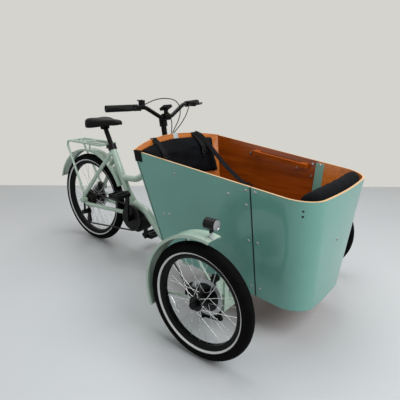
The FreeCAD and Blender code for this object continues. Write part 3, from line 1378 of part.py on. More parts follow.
def grab_handles():
    """Wooden handle with a foot at each end on the inside of both side walls."""
    middle_x = HANDLE_X + HANDLE_L / 2
    top = rim_height(middle_x) - HANDLE_DROP
    reach = HANDLE_GAP + HANDLE_T
    outer_y = side_half(top) - BOX_WALL
    outline = [V(0, reach * -1, 0), V(0, OVERRUN, 0), V(HANDLE_FOOT, OVERRUN, 0),
               V(HANDLE_FOOT, -HANDLE_GAP + HANDLE_T / 2, 0), V(HANDLE_FOOT + HANDLE_T / 2, -HANDLE_GAP, 0)]
    far = [V(HANDLE_L - point.x, point.y, 0) for point in reversed(outline)]
    bar = polygon_face(outline + far).extrude(Z_DIR * HANDLE_W)
    bar.rotate(ORIGIN, Y_DIR, math.degrees(math.atan(BOX_FALL)))
    bar.translate(V(HANDLE_X, outer_y, top - HANDLE_W + HANDLE_L / 2 * BOX_FALL))
    bar = bar.common(box_loft(BOX_WALL, BOX_FOOT_Z, BOX_LOFT_TOP_Z))
    return group([bar, mirrored(bar)])


def cable_bracket():
    """Pale bracket hooked over the rear panel's rim, with the clip where the cables end."""
    band = rim_band(BRACKET_Y, BRACKET_W, BRACKET_T, BRACKET_DROP)
    top = min((BAR_CENTRE + V(*route[-1])).z for route in CABLE_ROUTES) - CLEAR
    end_x = BAR_X + CABLE_ROUTES[0][-1][0]
    clip = Part.makeBox(CLIP_REACH * 3, BRACKET_W, CLIP_H,
                        V(end_x - CLIP_REACH / 2, BRACKET_Y - BRACKET_W / 2, top - CLIP_H))
    clip = clip.cut(rear_panel(BRACKET_T / 2)).cut(box_loft(0.0, BOX_FOOT_Z, BOX_LOFT_TOP_Z))
    return fuse([band, clip]).cut(group(cable_bars(CABLE_R + CLEAR)))


def rim_band(y, width, thick, drop):
    """Band folded over the rear panel's rim about a place along it."""
    skin = rear_panel(thick).cut(rear_panel())
    low = rear_rim_height(y) - drop
    return skin.common(Part.makeBox(BOX_FRONT_LIMIT, width, drop * 2, V(0, y - width / 2, low)))


def harness_straps():
    """Webbing over the rear rim, and a band over the right panel's rear corner."""
    bands = [rim_band(y, STRAP_W, STRAP_T, STRAP_DROP) for y in RIM_STRAPS_Y]
    skin = side_shell(STRAP_T).cut(side_shell())
    low = rim_height(CORNER_STRAP_X) - STRAP_DROP
    bands.append(skin.common(Part.makeBox(CORNER_STRAP_W, HALF_TRACK, STRAP_DROP * 2,
                                          V(CORNER_STRAP_X, -HALF_TRACK, low))))
    return group(bands)


def bench_top(x):
    """Height of the bench board's upper face."""
    return floor_height(x) + FLOOR_T + BENCH_RISE + BENCH_T


def backrest():
    """Padded backrest that leans on the rear panel's straps, thinner towards its ends."""
    sections = []
    for station, thick, side_share in zip(BACK_STATION_SHARES, BACK_THICK_SHARES, BACK_SIDE_SHARES):
        y = station * BACK_HALF
        bench = bench_top(REAR_FOOT_X) + BACK_FOOT_RISE
        top = rear_rim_height(y) - BACK_TOP_DROP
        middle = (bench + top) / 2
        half = (top - bench) / 2 * side_share
        back = [V(rear_panel_x(z, y) + BOX_WALL, y, z) for z in (middle - half, middle + half)]
        front = V(rear_panel_x(middle, y) + BOX_WALL + STRAP_T + BACK_T * thick, y, middle)
        edges = [Part.LineSegment(back[0], back[1]).toShape(), Part.Arc(back[1], front, back[0]).toShape()]
        sections.append(Part.Wire(edges))
    return Part.makeLoft(sections, True, False).cut(rear_panel(STRAP_T + CLEAR))


def bench_cushion():
    """Seat pad on the bench: crowned, with its sides drawn in."""
    sections = []
    back_x = rear_panel_x(bench_top(REAR_FOOT_X)) + REAR_BOW + PAD_BACK_GAP
    front_x = BENCH_FRONT_X - PAD_FRONT_GAP
    for station, thick, side_share in zip(BACK_STATION_SHARES, BACK_THICK_SHARES, BACK_SIDE_SHARES):
        y = station * PAD_HALF
        middle = (back_x + front_x) / 2
        half = (front_x - back_x) / 2 * side_share
        ends = [V(x, y, bench_top(x)) for x in (middle - half, middle + half)]
        edge = PAD_T * PAD_EDGE_SHARE * thick
        tops = [end + Z_DIR * edge for end in ends]
        crown = V(middle, y, bench_top(middle) + PAD_T * thick)
        edges = [Part.LineSegment(ends[0], ends[1]).toShape(), Part.LineSegment(ends[1], tops[1]).toShape(),
                 Part.Arc(tops[1], crown, tops[0]).toShape(), Part.LineSegment(tops[0], ends[0]).toShape()]
        sections.append(Part.Wire(edges))
    return Part.makeLoft(sections, True, False)


def bench_cushions():
    """Both pads of the passengers' bench."""
    return group([backrest(), bench_cushion()])


def front_roll():
    """Round padded roll along the front panel's rim, drawn in at its ends."""
    sections = []
    z = rim_height(front_panel_x(RIM_Z)) - ROLL_R + ROLL_RISE
    for station, size in zip(ROLL_STATION_SHARES, ROLL_SIZE_SHARES):
        y = station * ROLL_HALF
        wall, slope = front_wall(z, abs(y), BOX_WALL)
        x = wall - ROLL_R / math.cos(slope) + ROLL_PRESS
        r = ROLL_R * size
        edges = [Part.Arc(V(x + r, y, z), V(x, y, z + r), V(x - r, y, z)).toShape(),
                 Part.Arc(V(x - r, y, z), V(x, y, z - r), V(x + r, y, z)).toShape()]
        sections.append(Part.Wire(edges))
    return Part.makeLoft(sections, True, False).common(box_inside(CLEAR))


# Handlebar

BAR_CENTRE = V(BAR_X, 0, BAR_Z)


def bar_points():
    """Corner points of the right half of the bar, from its end to the clamp."""
    end = BAR_CENTRE + V(-BAR_END_BACK, -BAR_END_Y, BAR_RISE)
    bend = BAR_CENTRE + V(BAR_BEND_AHEAD, -BAR_BEND_Y, BAR_RISE)
    flat = BAR_CENTRE - Y_DIR * BAR_FLAT_HALF
    return end, bend, flat


def handlebar():
    """Swept-back handlebar."""
    end, bend, flat = bar_points()
    points = [end, bend, flat]
    points += [V(point.x, -point.y, point.z) for point in reversed(points)]
    bends = list(BAR_BENDS[::-1])
    return bar_along(points, bends + bends[::-1], BAR_R)


def grip_frame(side):
    """Outward direction along a grip, forward direction across it, and the bar's end."""
    end, bend, flat = bar_points()
    if side > 0:
        end = V(end.x, -end.y, end.z)
        bend = V(bend.x, -bend.y, bend.z)
    out = (end - bend).normalize()
    ahead = V(out.y * -1, out.x, 0).normalize()
    if ahead.x < 0:
        ahead = ahead * -1
    return out, ahead, end


def grips():
    """Soft grips on both ends of the bar."""
    pieces = []
    for side in SIDES.values():
        out, ahead, end = grip_frame(side)
        sleeve = ring_between(end - out * GRIP_L, end, GRIP_R, BAR_R)
        cap = rod_between(end, end + out * GRIP_END, GRIP_R)
        pieces.append(fuse([sleeve, cap]))
    return group(pieces)


def lever_pivot(side):
    """Pivot of a brake lever, ahead of the bar beside its grip."""
    out, ahead, end = grip_frame(side)
    return end - out * (GRIP_L + POD_GAP + POD_L / 2) + ahead * (POD_R + POD_REACH)


def control_pods():
    """Brake lever brackets, the shift pod and the display."""
    pieces = []
    for side in SIDES.values():
        out, ahead, end = grip_frame(side)
        start = end - out * (GRIP_L + POD_GAP + POD_L)
        ring = rod_between(start, start + out * POD_L, POD_R)
        pivot = lever_pivot(side)
        middle = (pivot + start + out * (POD_L / 2)) * 0.5
        bracket = block(ORIGIN, POD_REACH + POD_R, POD_W, POD_H)
        bracket.rotate(ORIGIN, Z_DIR, math.degrees(math.atan2(ahead.y, ahead.x)))
        bracket.translate(middle)
        slot = rod_between(pivot - Z_DIR * (LEVER_H / 2 + CLEAR), pivot + Z_DIR * (LEVER_H / 2 + CLEAR),
                           LEVER_EYE_R + POD_W)
        pin = rod_between(pivot - Z_DIR * (POD_H / 2), pivot + Z_DIR * (POD_H / 2), LEVER_PIN_R)
        ears = rod_between(pivot - Z_DIR * (POD_H / 2), pivot + Z_DIR * (POD_H / 2), POD_W / 2)
        pod = fuse([ring, fuse([bracket, ears]).cut(slot), pin])
        pieces.append(pod.cut(handlebar()))
    base = shift_pivot() - Z_DIR * SHIFT_RISE
    shift_pod = fuse([rod_between(base, base + Z_DIR * (SHIFT_RISE - SHIFT_T / 2 - CLEAR), SHIFT_R),
                      rod_between(base, base + Z_DIR * (SHIFT_RISE + SHIFT_T), SHIFT_PIN_R)])
    pieces.append(shift_pod.cut(handlebar()))
    screen = block(BAR_CENTRE + Z_DIR * DISPLAY_RISE, DISPLAY_W, DISPLAY_L, DISPLAY_T)
    screen.rotate(BAR_CENTRE + Z_DIR * DISPLAY_RISE, Y_DIR, -DISPLAY_TILT)
    foot = block(BAR_CENTRE + Z_DIR * (DISPLAY_RISE / 2), DISPLAY_T, DISPLAY_W / 2, DISPLAY_RISE)
    screen = fuse([screen, foot]).cut(handlebar()).cut(stem_block())
    pieces.append(screen)
    return group(pieces)


def shift_pivot():
    """Pivot of the shift lever, above the bar inboard of the right brake lever."""
    out, ahead, end = grip_frame(-1)
    return end - out * (GRIP_L + POD_GAP * 2 + POD_L + SHIFT_R) + Z_DIR * SHIFT_RISE


def shift_lever():
    """Thumb lever that turns about the shift pod's upright pin."""
    pivot = shift_pivot()
    out, ahead, end = grip_frame(-1)
    low = pivot - Z_DIR * (SHIFT_T / 2)
    eye = rod_between(low, low + Z_DIR * SHIFT_T, SHIFT_R)
    bar = block(X_DIR * (SHIFT_L / 2), SHIFT_L, SHIFT_R, SHIFT_T)
    bar.rotate(ORIGIN, Z_DIR, math.degrees(math.atan2(-ahead.y, -ahead.x)))
    bar.translate(pivot)
    bore = rod_between(low - Z_DIR * OVERRUN, low + Z_DIR * (SHIFT_T + OVERRUN), SHIFT_PIN_R + RUNNING)
    return fuse([eye, bar]).cut(bore)


def brake_lever(side):
    """Brake lever blade from its pivot outward, ahead of the grip."""
    out, ahead, end = grip_frame(side)
    pivot = lever_pivot(side)
    low = pivot - Z_DIR * (LEVER_H / 2)
    start = pivot
    knee = start + out * (LEVER_L / 3) + ahead * LEVER_SPREAD
    tip = start + out * LEVER_L + ahead * (LEVER_SPREAD / 2)
    eye = rod_between(low, low + Z_DIR * LEVER_H, LEVER_EYE_R)
    pieces = [eye]
    for first, last in ((start, knee), (knee, tip)):
        across = (last - first).cross(Z_DIR).normalize() * (LEVER_T / 2)
        drop = Z_DIR * (-LEVER_H / 2)
        outline = [first + across + drop, last + across + drop, last - across + drop, first - across + drop]
        pieces.append(polygon_face(outline).extrude(Z_DIR * LEVER_H))
        pieces.append(rod_between(last + drop, last - drop, LEVER_T / 2))
    bore = rod_between(low - Z_DIR * OVERRUN, low + Z_DIR * (LEVER_H + OVERRUN), LEVER_PIN_R + RUNNING)
    return fuse(pieces).cut(bore)


def stem_block():
    """Stem: a collar on the column and a clamp round the bar."""
    top = axis_point(COLUMN_TOP_Z)
    collar = rod_between(top - AXIS_UP * STEM_H, top + AXIS_UP * (STEM_R / 2), STEM_R)
    clamp = rod_between(BAR_CENTRE - Y_DIR * BAR_CLAMP_HALF, BAR_CENTRE + Y_DIR * BAR_CLAMP_HALF, BAR_CLAMP_R)
    return fuse([collar, clamp])


def steering_column():
    """Column with its lower steering arm, and the stem that clamps the bar."""
    low = arm_pivot(0) - AXIS_UP * (ARM_T / 2)
    top = axis_point(COLUMN_TOP_Z)
    lowest = max(rod_level(side) for side in SIDES.values())
    column = fuse([rod_between(low, top, COLUMN_R), arm(arm_pivot(0), lowest)])
    stem = stem_block().cut(rod_between(low, top, COLUMN_R)).cut(handlebar())
    return group([column, stem])


def cable_bars(radius):
    """Round bars along the cables' routes."""
    cables = []
    for route in CABLE_ROUTES:
        points = [BAR_CENTRE + V(*spot) for spot in route]
        bends = []
        for index in range(1, len(points) - 1):
            back = points[index - 1] - points[index]
            ahead = points[index + 1] - points[index]
            half_turn = (math.pi - back.getAngle(ahead)) / 2
            bends.append(CABLE_BEND_SHARE * min(back.Length, ahead.Length) / math.tan(half_turn))
        cables.append(bar_along(points, bends, radius))
    return cables


def brake_cables():
    """Cable housings from the lever brackets down to the bracket on the rim."""
    return group(cable_bars(CABLE_R))


def rim_front_x():
    """Foremost X of the box, where its front face meets the rim."""
    slope = 1 + FRONT_LEAN * BOX_FALL
    return (BOX_FOOT_FRONT_X + FRONT_LEAN * (RIM_Z + RIM_X * BOX_FALL - BOX_FOOT_Z)) / slope


def tail_x():
    """Rearmost X of the tricycle, on the lower end of the tail light."""
    return polar(REAR_AXLE, REAR_WHEEL_R + GUARD_GAP + GUARD_T + LAMP_T, TAIL_ANGLES[-1]).x


def export(name, shape):
    """Write one node, moved so that the part's origin is under the middle of its length."""
    moved = shape.copy()
    moved.translate(X_DIR * (-(tail_x() + rim_front_x()) / 2))
    solids = moved.Solids
    good = all(solid.isValid() and solid.Volume > 0 for solid in solids)
    print("%-22s solids %3d volume %10.0f %s" % (name, len(solids), moved.Volume, "" if good else "BAD"))
    moved.exportStep("parts/%s.step" % name)


def main():
    """Build every node and write it."""
    os.makedirs("parts", exist_ok=True)
    nodes = {
        "seat_tube": seat_tube, "head_frame": head_frame, "down_tube": down_tube, "rear_stays": rear_stays,
        "axle_beam": axle_beam, "rack": rack, "rear_mudguard": rear_guard, "rear_lights": rear_lights,
        "drive_motor": drive_motor, "seat_clamp": seat_clamp, "rear_caliper": rear_caliper,
        "derailleur": derailleur, "chain": chain, "battery_pack": battery_pack, "box_floor": box_floor,
        "box_front_panel": front_panel, "box_rear_panel": rear_panel, "seam_strips": seam_strips,
        "panel_screws": panel_screws, "grab_handles": grab_handles, "cable_bracket": cable_bracket,
        "bench_cushions": bench_cushions, "front_roll_cushion": front_roll,
        "harness_straps": harness_straps, "steering_column": steering_column, "handlebar": handlebar,
        "grips": grips, "control_pods": control_pods, "shift_lever": shift_lever,
        "brake_cables": brake_cables, "cranks": cranks, "cassette": cassette,
        "seat_post": seat_post, "saddle": saddle, "rear_hub": rear_hub,
    }
    for name, make in nodes.items():
        export(name, make())
    for name, side in SIDES.items():
        export("box_%s_panel" % name, side_panel(side))
        export(name + "_knuckle", knuckle(side))
        export(name + "_track_rod", track_rod(side))
        export(name + "_mudguard", front_guard(side))
        export(name + "_headlight", headlight(side))
        export(name + "_brake_lever", brake_lever(side))
        export(name + "_pedal", pedal(side))
        export(name + "_hub", hub(front_axle(side), STUB_AXLE_R + RUNNING, -side))
    wheels = {"rear": (REAR_AXLE, REAR_WHEEL_R, REAR_SPOKES)}
    for name, side in SIDES.items():
        wheels[name] = (front_axle(side), FRONT_WHEEL_R, FRONT_SPOKES)
    for name, (centre, radius, count) in wheels.items():
        export(name + "_tyre", tyre(centre, radius))
        export(name + "_rim", rim(centre, radius))
        export(name + "_spokes", spokes(centre, radius, count))


main()
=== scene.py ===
"""Cargo tricycle: its looks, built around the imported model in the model's own frame, in metres."""
import json
import logging
import math
from dataclasses import dataclass
from enum import Enum
from typing import Callable, Optional, Sequence

import bmesh
import bpy
from mathutils import Matrix, Vector


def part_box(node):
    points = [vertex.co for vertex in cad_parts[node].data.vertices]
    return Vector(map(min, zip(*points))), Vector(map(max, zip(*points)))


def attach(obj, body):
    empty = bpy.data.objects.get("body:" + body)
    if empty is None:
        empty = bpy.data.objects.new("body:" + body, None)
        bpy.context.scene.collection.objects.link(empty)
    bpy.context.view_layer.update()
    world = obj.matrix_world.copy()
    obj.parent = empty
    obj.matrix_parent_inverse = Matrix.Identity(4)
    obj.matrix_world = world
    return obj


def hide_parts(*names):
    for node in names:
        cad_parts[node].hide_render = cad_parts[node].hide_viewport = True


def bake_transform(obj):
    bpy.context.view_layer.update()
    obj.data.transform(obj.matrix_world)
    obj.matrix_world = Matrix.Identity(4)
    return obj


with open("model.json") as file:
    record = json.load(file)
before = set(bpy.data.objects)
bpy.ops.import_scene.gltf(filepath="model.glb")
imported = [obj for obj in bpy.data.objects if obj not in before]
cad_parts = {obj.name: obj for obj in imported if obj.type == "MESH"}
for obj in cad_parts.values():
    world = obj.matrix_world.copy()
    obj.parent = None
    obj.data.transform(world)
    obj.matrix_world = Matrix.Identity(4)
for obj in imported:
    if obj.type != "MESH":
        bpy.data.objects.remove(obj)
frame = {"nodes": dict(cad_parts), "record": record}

Piece = bpy.types.Object
Node = bpy.types.Node
Socket = bpy.types.NodeSocket
Material = bpy.types.Material
Colour = tuple[float, float, float, float]
Point = tuple[float, float, float]

LOG = logging.getLogger("cargo_tricycle")
NODES: dict[str, Piece] = frame["nodes"]
SIGNS = {"right": -1, "left": 1}
REAR_AXLE_X = -0.7081508
REAR_RADIUS = 0.305
FRONT_RADIUS = 0.254
FRONT_AXLE: Point = (0.667849, 0.538, FRONT_RADIUS)
LAMP_CENTRE: Point = (0.721849, 0.538, 0.598)
ACROSS = Vector((0.0, 1.0, 0.0))
UP = Vector((0.0, 0.0, 1.0))
ASKEW = Vector((0.31, 0.42, 0.85))
SAME_POINT = 1e-6


def paint(red: int, green: int, blue: int) -> Colour:
    """Turn a colour as it looks on a screen into the linear one that a shader takes.

    Args:
        red: Red from 0 to 255.
        green: Green from 0 to 255.
        blue: Blue from 0 to 255.

    Returns:
        The linear colour with full opacity.
    """
    shares = [value / 255 for value in (red, green, blue)]
    linear = [s / 12.92 if s <= 0.04045 else ((s + 0.055) / 1.055) ** 2.4 for s in shares]
    return (linear[0], linear[1], linear[2], 1.0)


def on_side(place: Point, side: str) -> Point:
    """Give a place on the right or the left side, from the left one."""
    return (place[0], SIGNS[side] * place[1], place[2])


def turns(count: int) -> list[float]:
    """Give the angles of points spread evenly round a circle."""
    return [2 * math.pi * k / count for k in range(count)]


def ring(centre: Vector, across: Vector, other: Vector, radius: float, count: int) -> list[Vector]:
    """Give points round a circle.

    Args:
        centre: The circle's centre.
        across: One direction in its plane.
        other: The direction square to that one.
        radius: Its radius.
        count: How many points.

    Returns:
        The points in order.
    """
    return [centre + (across * math.cos(a) + other * math.sin(a)) * radius for a in turns(count)]


def run_length(path: Sequence[Vector]) -> float:
    """Give the length of a line through points."""
    return sum((b - a).length for a, b in zip(path, path[1:]))


def headings(path: Sequence[Vector]) -> list[Vector]:
    """Give the direction of travel at each point of a path."""
    last = len(path) - 1
    return [(path[min(k + 1, last)] - path[max(k - 1, 0)]).normalized() for k in range(last + 1)]


class Graph:
    """Adds nodes and links to one node tree."""

    def __init__(self, tree: bpy.types.NodeTree) -> None:
        """Keep the tree that the nodes go into."""
        self.tree = tree

    def add(self, kind: str, inputs: Optional[dict] = None, **settings: object) -> Node:
        """Make a node, set it up and feed its inputs.

        Args:
            kind: Blender's name of the node type, without its "ShaderNode" start.
            inputs: A value or an output socket for each input, by name or place.
            settings: The node's own properties.

        Returns:
            The new node.
        """
        node = self.tree.nodes.new("ShaderNode" + kind if not kind.startswith("Node") else kind)
        for name, value in settings.items():
            setattr(node, name, value)
        for key, value in (inputs or {}).items():
            if isinstance(value, Socket):
                self.tree.links.new(value, node.inputs[key])
            else:
                node.inputs[key].default_value = value
        return node

    def math(self, operation: str, first: object, second: object = 0.0, clamp: bool = False) -> Socket:
        """Combine two values.

        Args:
            operation: Blender's name of the operation.
            first: First value or socket.
            second: Second value or socket.
            clamp: Whether the result stays between 0 and 1.

        Returns:
            The result's socket.
        """
        return self.add("Math", {0: first, 1: second}, operation=operation, use_clamp=clamp).outputs[0]

    def mix(self, share: object, low: object, high: object) -> Socket:
        """Mix two colours.

        Args:
            share: Share of the second colour.
            low: First colour or socket.
            high: Second colour or socket.

        Returns:
            The mixed colour's socket.
        """
        return self.add("Mix", {0: share, 6: low, 7: high}, data_type="RGBA").outputs[2]

    def ramp(self, value: object, low: float, high: float, start: float = 0.0, end: float = 1.0) -> Socket:
        """Stretch one span of values to another.

        Args:
            value: Value or socket to stretch.
            low: Lower end of the span.
            high: Upper end of the span.
            start: What the lower end becomes.
            end: What the upper end becomes.

        Returns:
            The stretched value's socket.
        """
        return self.add("MapRange", {0: value, 1: low, 2: high, 3: start, 4: end}, clamp=True).outputs[0]

    def place(self) -> Socket:
        """Give each point's place on its own object."""
        return self.add("TexCoord").outputs["Object"]

    def noise(self, place: Socket, scale: object, detail: float, distortion: float = 0.0) -> Socket:
        """Make a cloudy value.

        Args:
            place: Where it is read.
            scale: How fine it is.
            detail: How many finer layers it has.
            distortion: How far it is stirred.

        Returns:
            The value's socket.
        """
        inputs = {"Vector": place, "Scale": scale, "Detail": detail, "Distortion": distortion}
        return self.add("TexNoise", inputs).outputs[0]

    def link(self, value: Socket, node: Node, name: str) -> None:
        """Lead a socket into a node's named input."""
        self.tree.links.new(value, node.inputs[name])

    def bump(self, shader: Node, height: Socket, strength: float, distance: float) -> None:
        """Give a shader's surface a fine shape.

        Args:
            shader: The surface shader.
            height: The shape's height from 0 to 1.
            strength: How strongly it shows.
            distance: The height in metres.
        """
        node = self.add("Bump", {"Strength": strength, "Distance": distance, "Height": height})
        self.link(node.outputs[0], shader, "Normal")


class Effect(Enum):
    """Shared effects, each one node group."""

    MOTTLE = "mottle"
    EDGE_WEAR = "edge_wear"
    GRAIN = "wood_grain"
    WEAVE = "weave"
    PEBBLE = "pebble"
    DUST = "dust"


class EffectLibrary:
    """Builds each shared effect once and places it in materials."""

    def __init__(self) -> None:
        """Start with no group built."""
        self.groups: dict[Effect, bpy.types.NodeTree] = {}

    def place(self, graph: Graph, effect: Effect, inputs: dict) -> Node:
        """Put an effect into a material.

        Args:
            graph: The material's graph.
            effect: Which effect.
            inputs: Its values or sockets, by name.

        Returns:
            The group's node.
        """
        if effect not in self.groups:
            self.groups[effect] = self._build(effect)
        return graph.add("Group", inputs, node_tree=self.groups[effect])

    def _build(self, effect: Effect) -> bpy.types.NodeTree:
        """Make an effect's node group.

        Args:
            effect: Which effect.

        Returns:
            The finished group.
        """
        makers: dict[Effect, Callable[[Graph, Node, Node], None]] = {
            Effect.MOTTLE: self._mottle, Effect.EDGE_WEAR: self._edge_wear, Effect.GRAIN: self._grain,
            Effect.WEAVE: self._weave, Effect.PEBBLE: self._pebble, Effect.DUST: self._dust}
        sockets: dict[Effect, tuple[tuple[str, str, str], ...]] = {
            Effect.MOTTLE: (("Low", "INPUT", "Color"), ("High", "INPUT", "Color"), ("Scale", "INPUT", "Float"),
                            ("Color", "OUTPUT", "Color"), ("Value", "OUTPUT", "Float")),
            Effect.EDGE_WEAR: (("Width", "INPUT", "Float"), ("Mask", "OUTPUT", "Float")),
            Effect.GRAIN: (("Low", "INPUT", "Color"), ("High", "INPUT", "Color"), ("Stretch", "INPUT", "Vector"),
                           ("Color", "OUTPUT", "Color"), ("Height", "OUTPUT", "Float")),
            Effect.WEAVE: (("Scale", "INPUT", "Float"), ("Height", "OUTPUT", "Float")),
            Effect.PEBBLE: (("Scale", "INPUT", "Float"), ("Height", "OUTPUT", "Float")),
            Effect.DUST: (("Amount", "INPUT", "Float"), ("Mask", "OUTPUT", "Float"))}
        tree = bpy.data.node_groups.new(effect.value, "ShaderNodeTree")
        for name, side, kind in sockets[effect]:
            tree.interface.new_socket(name=name, in_out=side, socket_type="NodeSocket" + kind)
        graph = Graph(tree)
        makers[effect](graph, graph.add("NodeGroupInput"), graph.add("NodeGroupOutput"))
        return tree

    @staticmethod
    def _mottle(graph: Graph, source: Node, sink: Node) -> None:
        """Soft patches between two colours.

        Args:
            graph: The group's graph.
            source: Its input node.
            sink: Its output node.
        """
        share = graph.ramp(graph.noise(graph.place(), source.outputs["Scale"], detail=5.0), low=0.35, high=0.65)
        graph.link(graph.mix(share, source.outputs["Low"], source.outputs["High"]), sink, "Color")
        graph.link(share, sink, "Value")

    @staticmethod
    def _edge_wear(graph: Graph, source: Node, sink: Node) -> None:
        """Broken mask along sharp edges.

        Args:
            graph: The group's graph.
            source: Its input node.
            sink: Its output node.
        """
        round_edge = graph.add("Bevel", {"Radius": source.outputs["Width"]}, samples=4).outputs[0]
        flat = graph.add("NewGeometry").outputs["Normal"]
        same = graph.add("VectorMath", {0: round_edge, 1: flat}, operation="DOT_PRODUCT").outputs["Value"]
        edge = graph.ramp(graph.math("SUBTRACT", 1.0, same), low=0.02, high=0.2)
        broken = graph.ramp(graph.noise(graph.place(), scale=90.0, detail=4.0), low=0.48, high=0.62)
        graph.link(graph.math("MULTIPLY", edge, broken, clamp=True), sink, "Mask")

    @staticmethod
    def _grain(graph: Graph, source: Node, sink: Node) -> None:
        """Long wood fibres with slow bands.

        Args:
            graph: The group's graph.
            source: Its input node.
            sink: Its output node.
        """
        stretched = {0: graph.place(), 1: source.outputs["Stretch"]}
        along = graph.add("VectorMath", stretched, operation="MULTIPLY").outputs[0]
        fibre = graph.noise(along, scale=1.0, detail=8.0, distortion=0.6)
        slow = graph.noise(along, scale=0.16, detail=3.0, distortion=1.5)
        both = graph.math("ADD", graph.math("MULTIPLY", fibre, 0.5), graph.math("MULTIPLY", slow, 0.5))
        share = graph.ramp(both, low=0.36, high=0.64)
        graph.link(graph.mix(share, source.outputs["Low"], source.outputs["High"]), sink, "Color")
        graph.link(fibre, sink, "Height")

    @staticmethod
    def _weave(graph: Graph, source: Node, sink: Node) -> None:
        """Threads that cross, seen from any side.

        Args:
            graph: The group's graph.
            source: Its input node.
            sink: Its output node.
        """
        inputs = {"Vector": graph.place(), "Scale": source.outputs["Scale"], "Distortion": 0.4}
        x, y, z = [graph.add("TexWave", inputs, bands_direction=way).outputs["Fac"] for way in ("X", "Y", "Z")]
        total = graph.math("MULTIPLY", x, y)
        for first, second in ((y, z), (x, z)):
            total = graph.math("ADD", total, graph.math("MULTIPLY", first, second))
        graph.link(total, sink, "Height")

    @staticmethod
    def _pebble(graph: Graph, source: Node, sink: Node) -> None:
        """Small rounded cells, as on leather and moulded plastic.

        Args:
            graph: The group's graph.
            source: Its input node.
            sink: Its output node.
        """
        inputs = {"Vector": graph.place(), "Scale": source.outputs["Scale"]}
        cells = graph.add("TexVoronoi", inputs, feature="SMOOTH_F1")
        graph.link(graph.math("SUBTRACT", 1.0, cells.outputs["Distance"]), sink, "Height")

    @staticmethod
    def _dust(graph: Graph, source: Node, sink: Node) -> None:
        """Thin dust on faces that look up.

        Args:
            graph: The group's graph.
            source: Its input node.
            sink: Its output node.
        """
        up = graph.add("SeparateXYZ", {0: graph.add("NewGeometry").outputs["Normal"]}).outputs["Z"]
        cloud = graph.ramp(graph.noise(graph.place(), scale=14.0, detail=6.0), low=0.4, high=0.75)
        mask = graph.math("MULTIPLY", graph.ramp(up, low=0.2, high=1.0), cloud)
        graph.link(graph.math("MULTIPLY", mask, source.outputs["Amount"], clamp=True), sink, "Mask")


EFFECTS = EffectLibrary()


DUST_COLOUR = paint(196, 190, 180)


@dataclass(frozen=True)
class Look:
    """A named look, built as a material once."""

    name: str

    def material(self) -> Material:
        """Give the look's material, which is built on the first call."""
        return bpy.data.materials.get(self.name) or self._make()

    def _make(self) -> Material:
        """Build the material's nodes."""
        raise NotImplementedError


@dataclass(frozen=True)
class Finish(Look):
    """A plain coated, bare or cloth surface."""

    low: Colour
    high: Colour
    scale: float = 9.0
    rough: tuple[float, float] = (0.3, 0.42)
    metallic: float = 0.0
    coat: float = 0.0
    coat_rough: float = 0.08
    specular: float = 0.5
    relief: Optional[Effect] = None
    relief_scale: float = 900.0
    relief_depth: float = 0.00003
    relief_strength: float = 0.6
    wear: Optional[Colour] = None
    wear_width: float = 0.0012
    dust: float = 0.0

    def _make(self) -> Material:
        """Build the material's nodes.

        Returns:
            The new material.
        """
        made, graph, shader = blank_material(self.name)
        colour, value = self._colour(graph)
        if self.wear:
            mask = EFFECTS.place(graph, Effect.EDGE_WEAR, {"Width": self.wear_width}).outputs["Mask"]
            colour = graph.mix(mask, colour, self.wear)
        if self.dust:
            mask = EFFECTS.place(graph, Effect.DUST, {"Amount": self.dust}).outputs["Mask"]
            colour = graph.mix(mask, colour, DUST_COLOUR)
        graph.link(colour, shader, "Base Color")
        graph.link(graph.ramp(value, 0.0, 1.0, *self.rough), shader, "Roughness")
        shader.inputs["Metallic"].default_value = self.metallic
        shader.inputs["Coat Weight"].default_value = self.coat
        shader.inputs["Coat Roughness"].default_value = self.coat_rough
        shader.inputs["Specular IOR Level"].default_value = self.specular
        self._relief(graph, shader, value)
        return made

    def _colour(self, graph: Graph) -> tuple[Socket, Socket]:
        """Give the colour and the value that varies over the surface.

        Args:
            graph: The material's graph.

        Returns:
            The colour's and the value's sockets.
        """
        node = EFFECTS.place(graph, Effect.MOTTLE, {"Low": self.low, "High": self.high, "Scale": self.scale})
        return node.outputs["Color"], node.outputs["Value"]

    def _relief(self, graph: Graph, shader: Node, value: Socket) -> None:
        """Add the fine shape through a bump.

        Args:
            graph: The material's graph.
            shader: The surface shader.
            value: A value that varies over the surface, for plain finishes.
        """
        height = value
        if self.relief:
            height = EFFECTS.place(graph, self.relief, {"Scale": self.relief_scale}).outputs["Height"]
        graph.bump(shader, height, self.relief_strength, self.relief_depth)


@dataclass(frozen=True)
class GrainFinish(Finish):
    """Varnished wood with its fibres along one direction."""

    stretch: Point = (6.0, 90.0, 90.0)

    def _colour(self, graph: Graph) -> tuple[Socket, Socket]:
        """Give the wood's colour and fibre height.

        Args:
            graph: The material's graph.

        Returns:
            The colour's and the value's sockets.
        """
        node = EFFECTS.place(graph, Effect.GRAIN, {"Low": self.low, "High": self.high, "Stretch": self.stretch})
        return node.outputs["Color"], node.outputs["Height"]


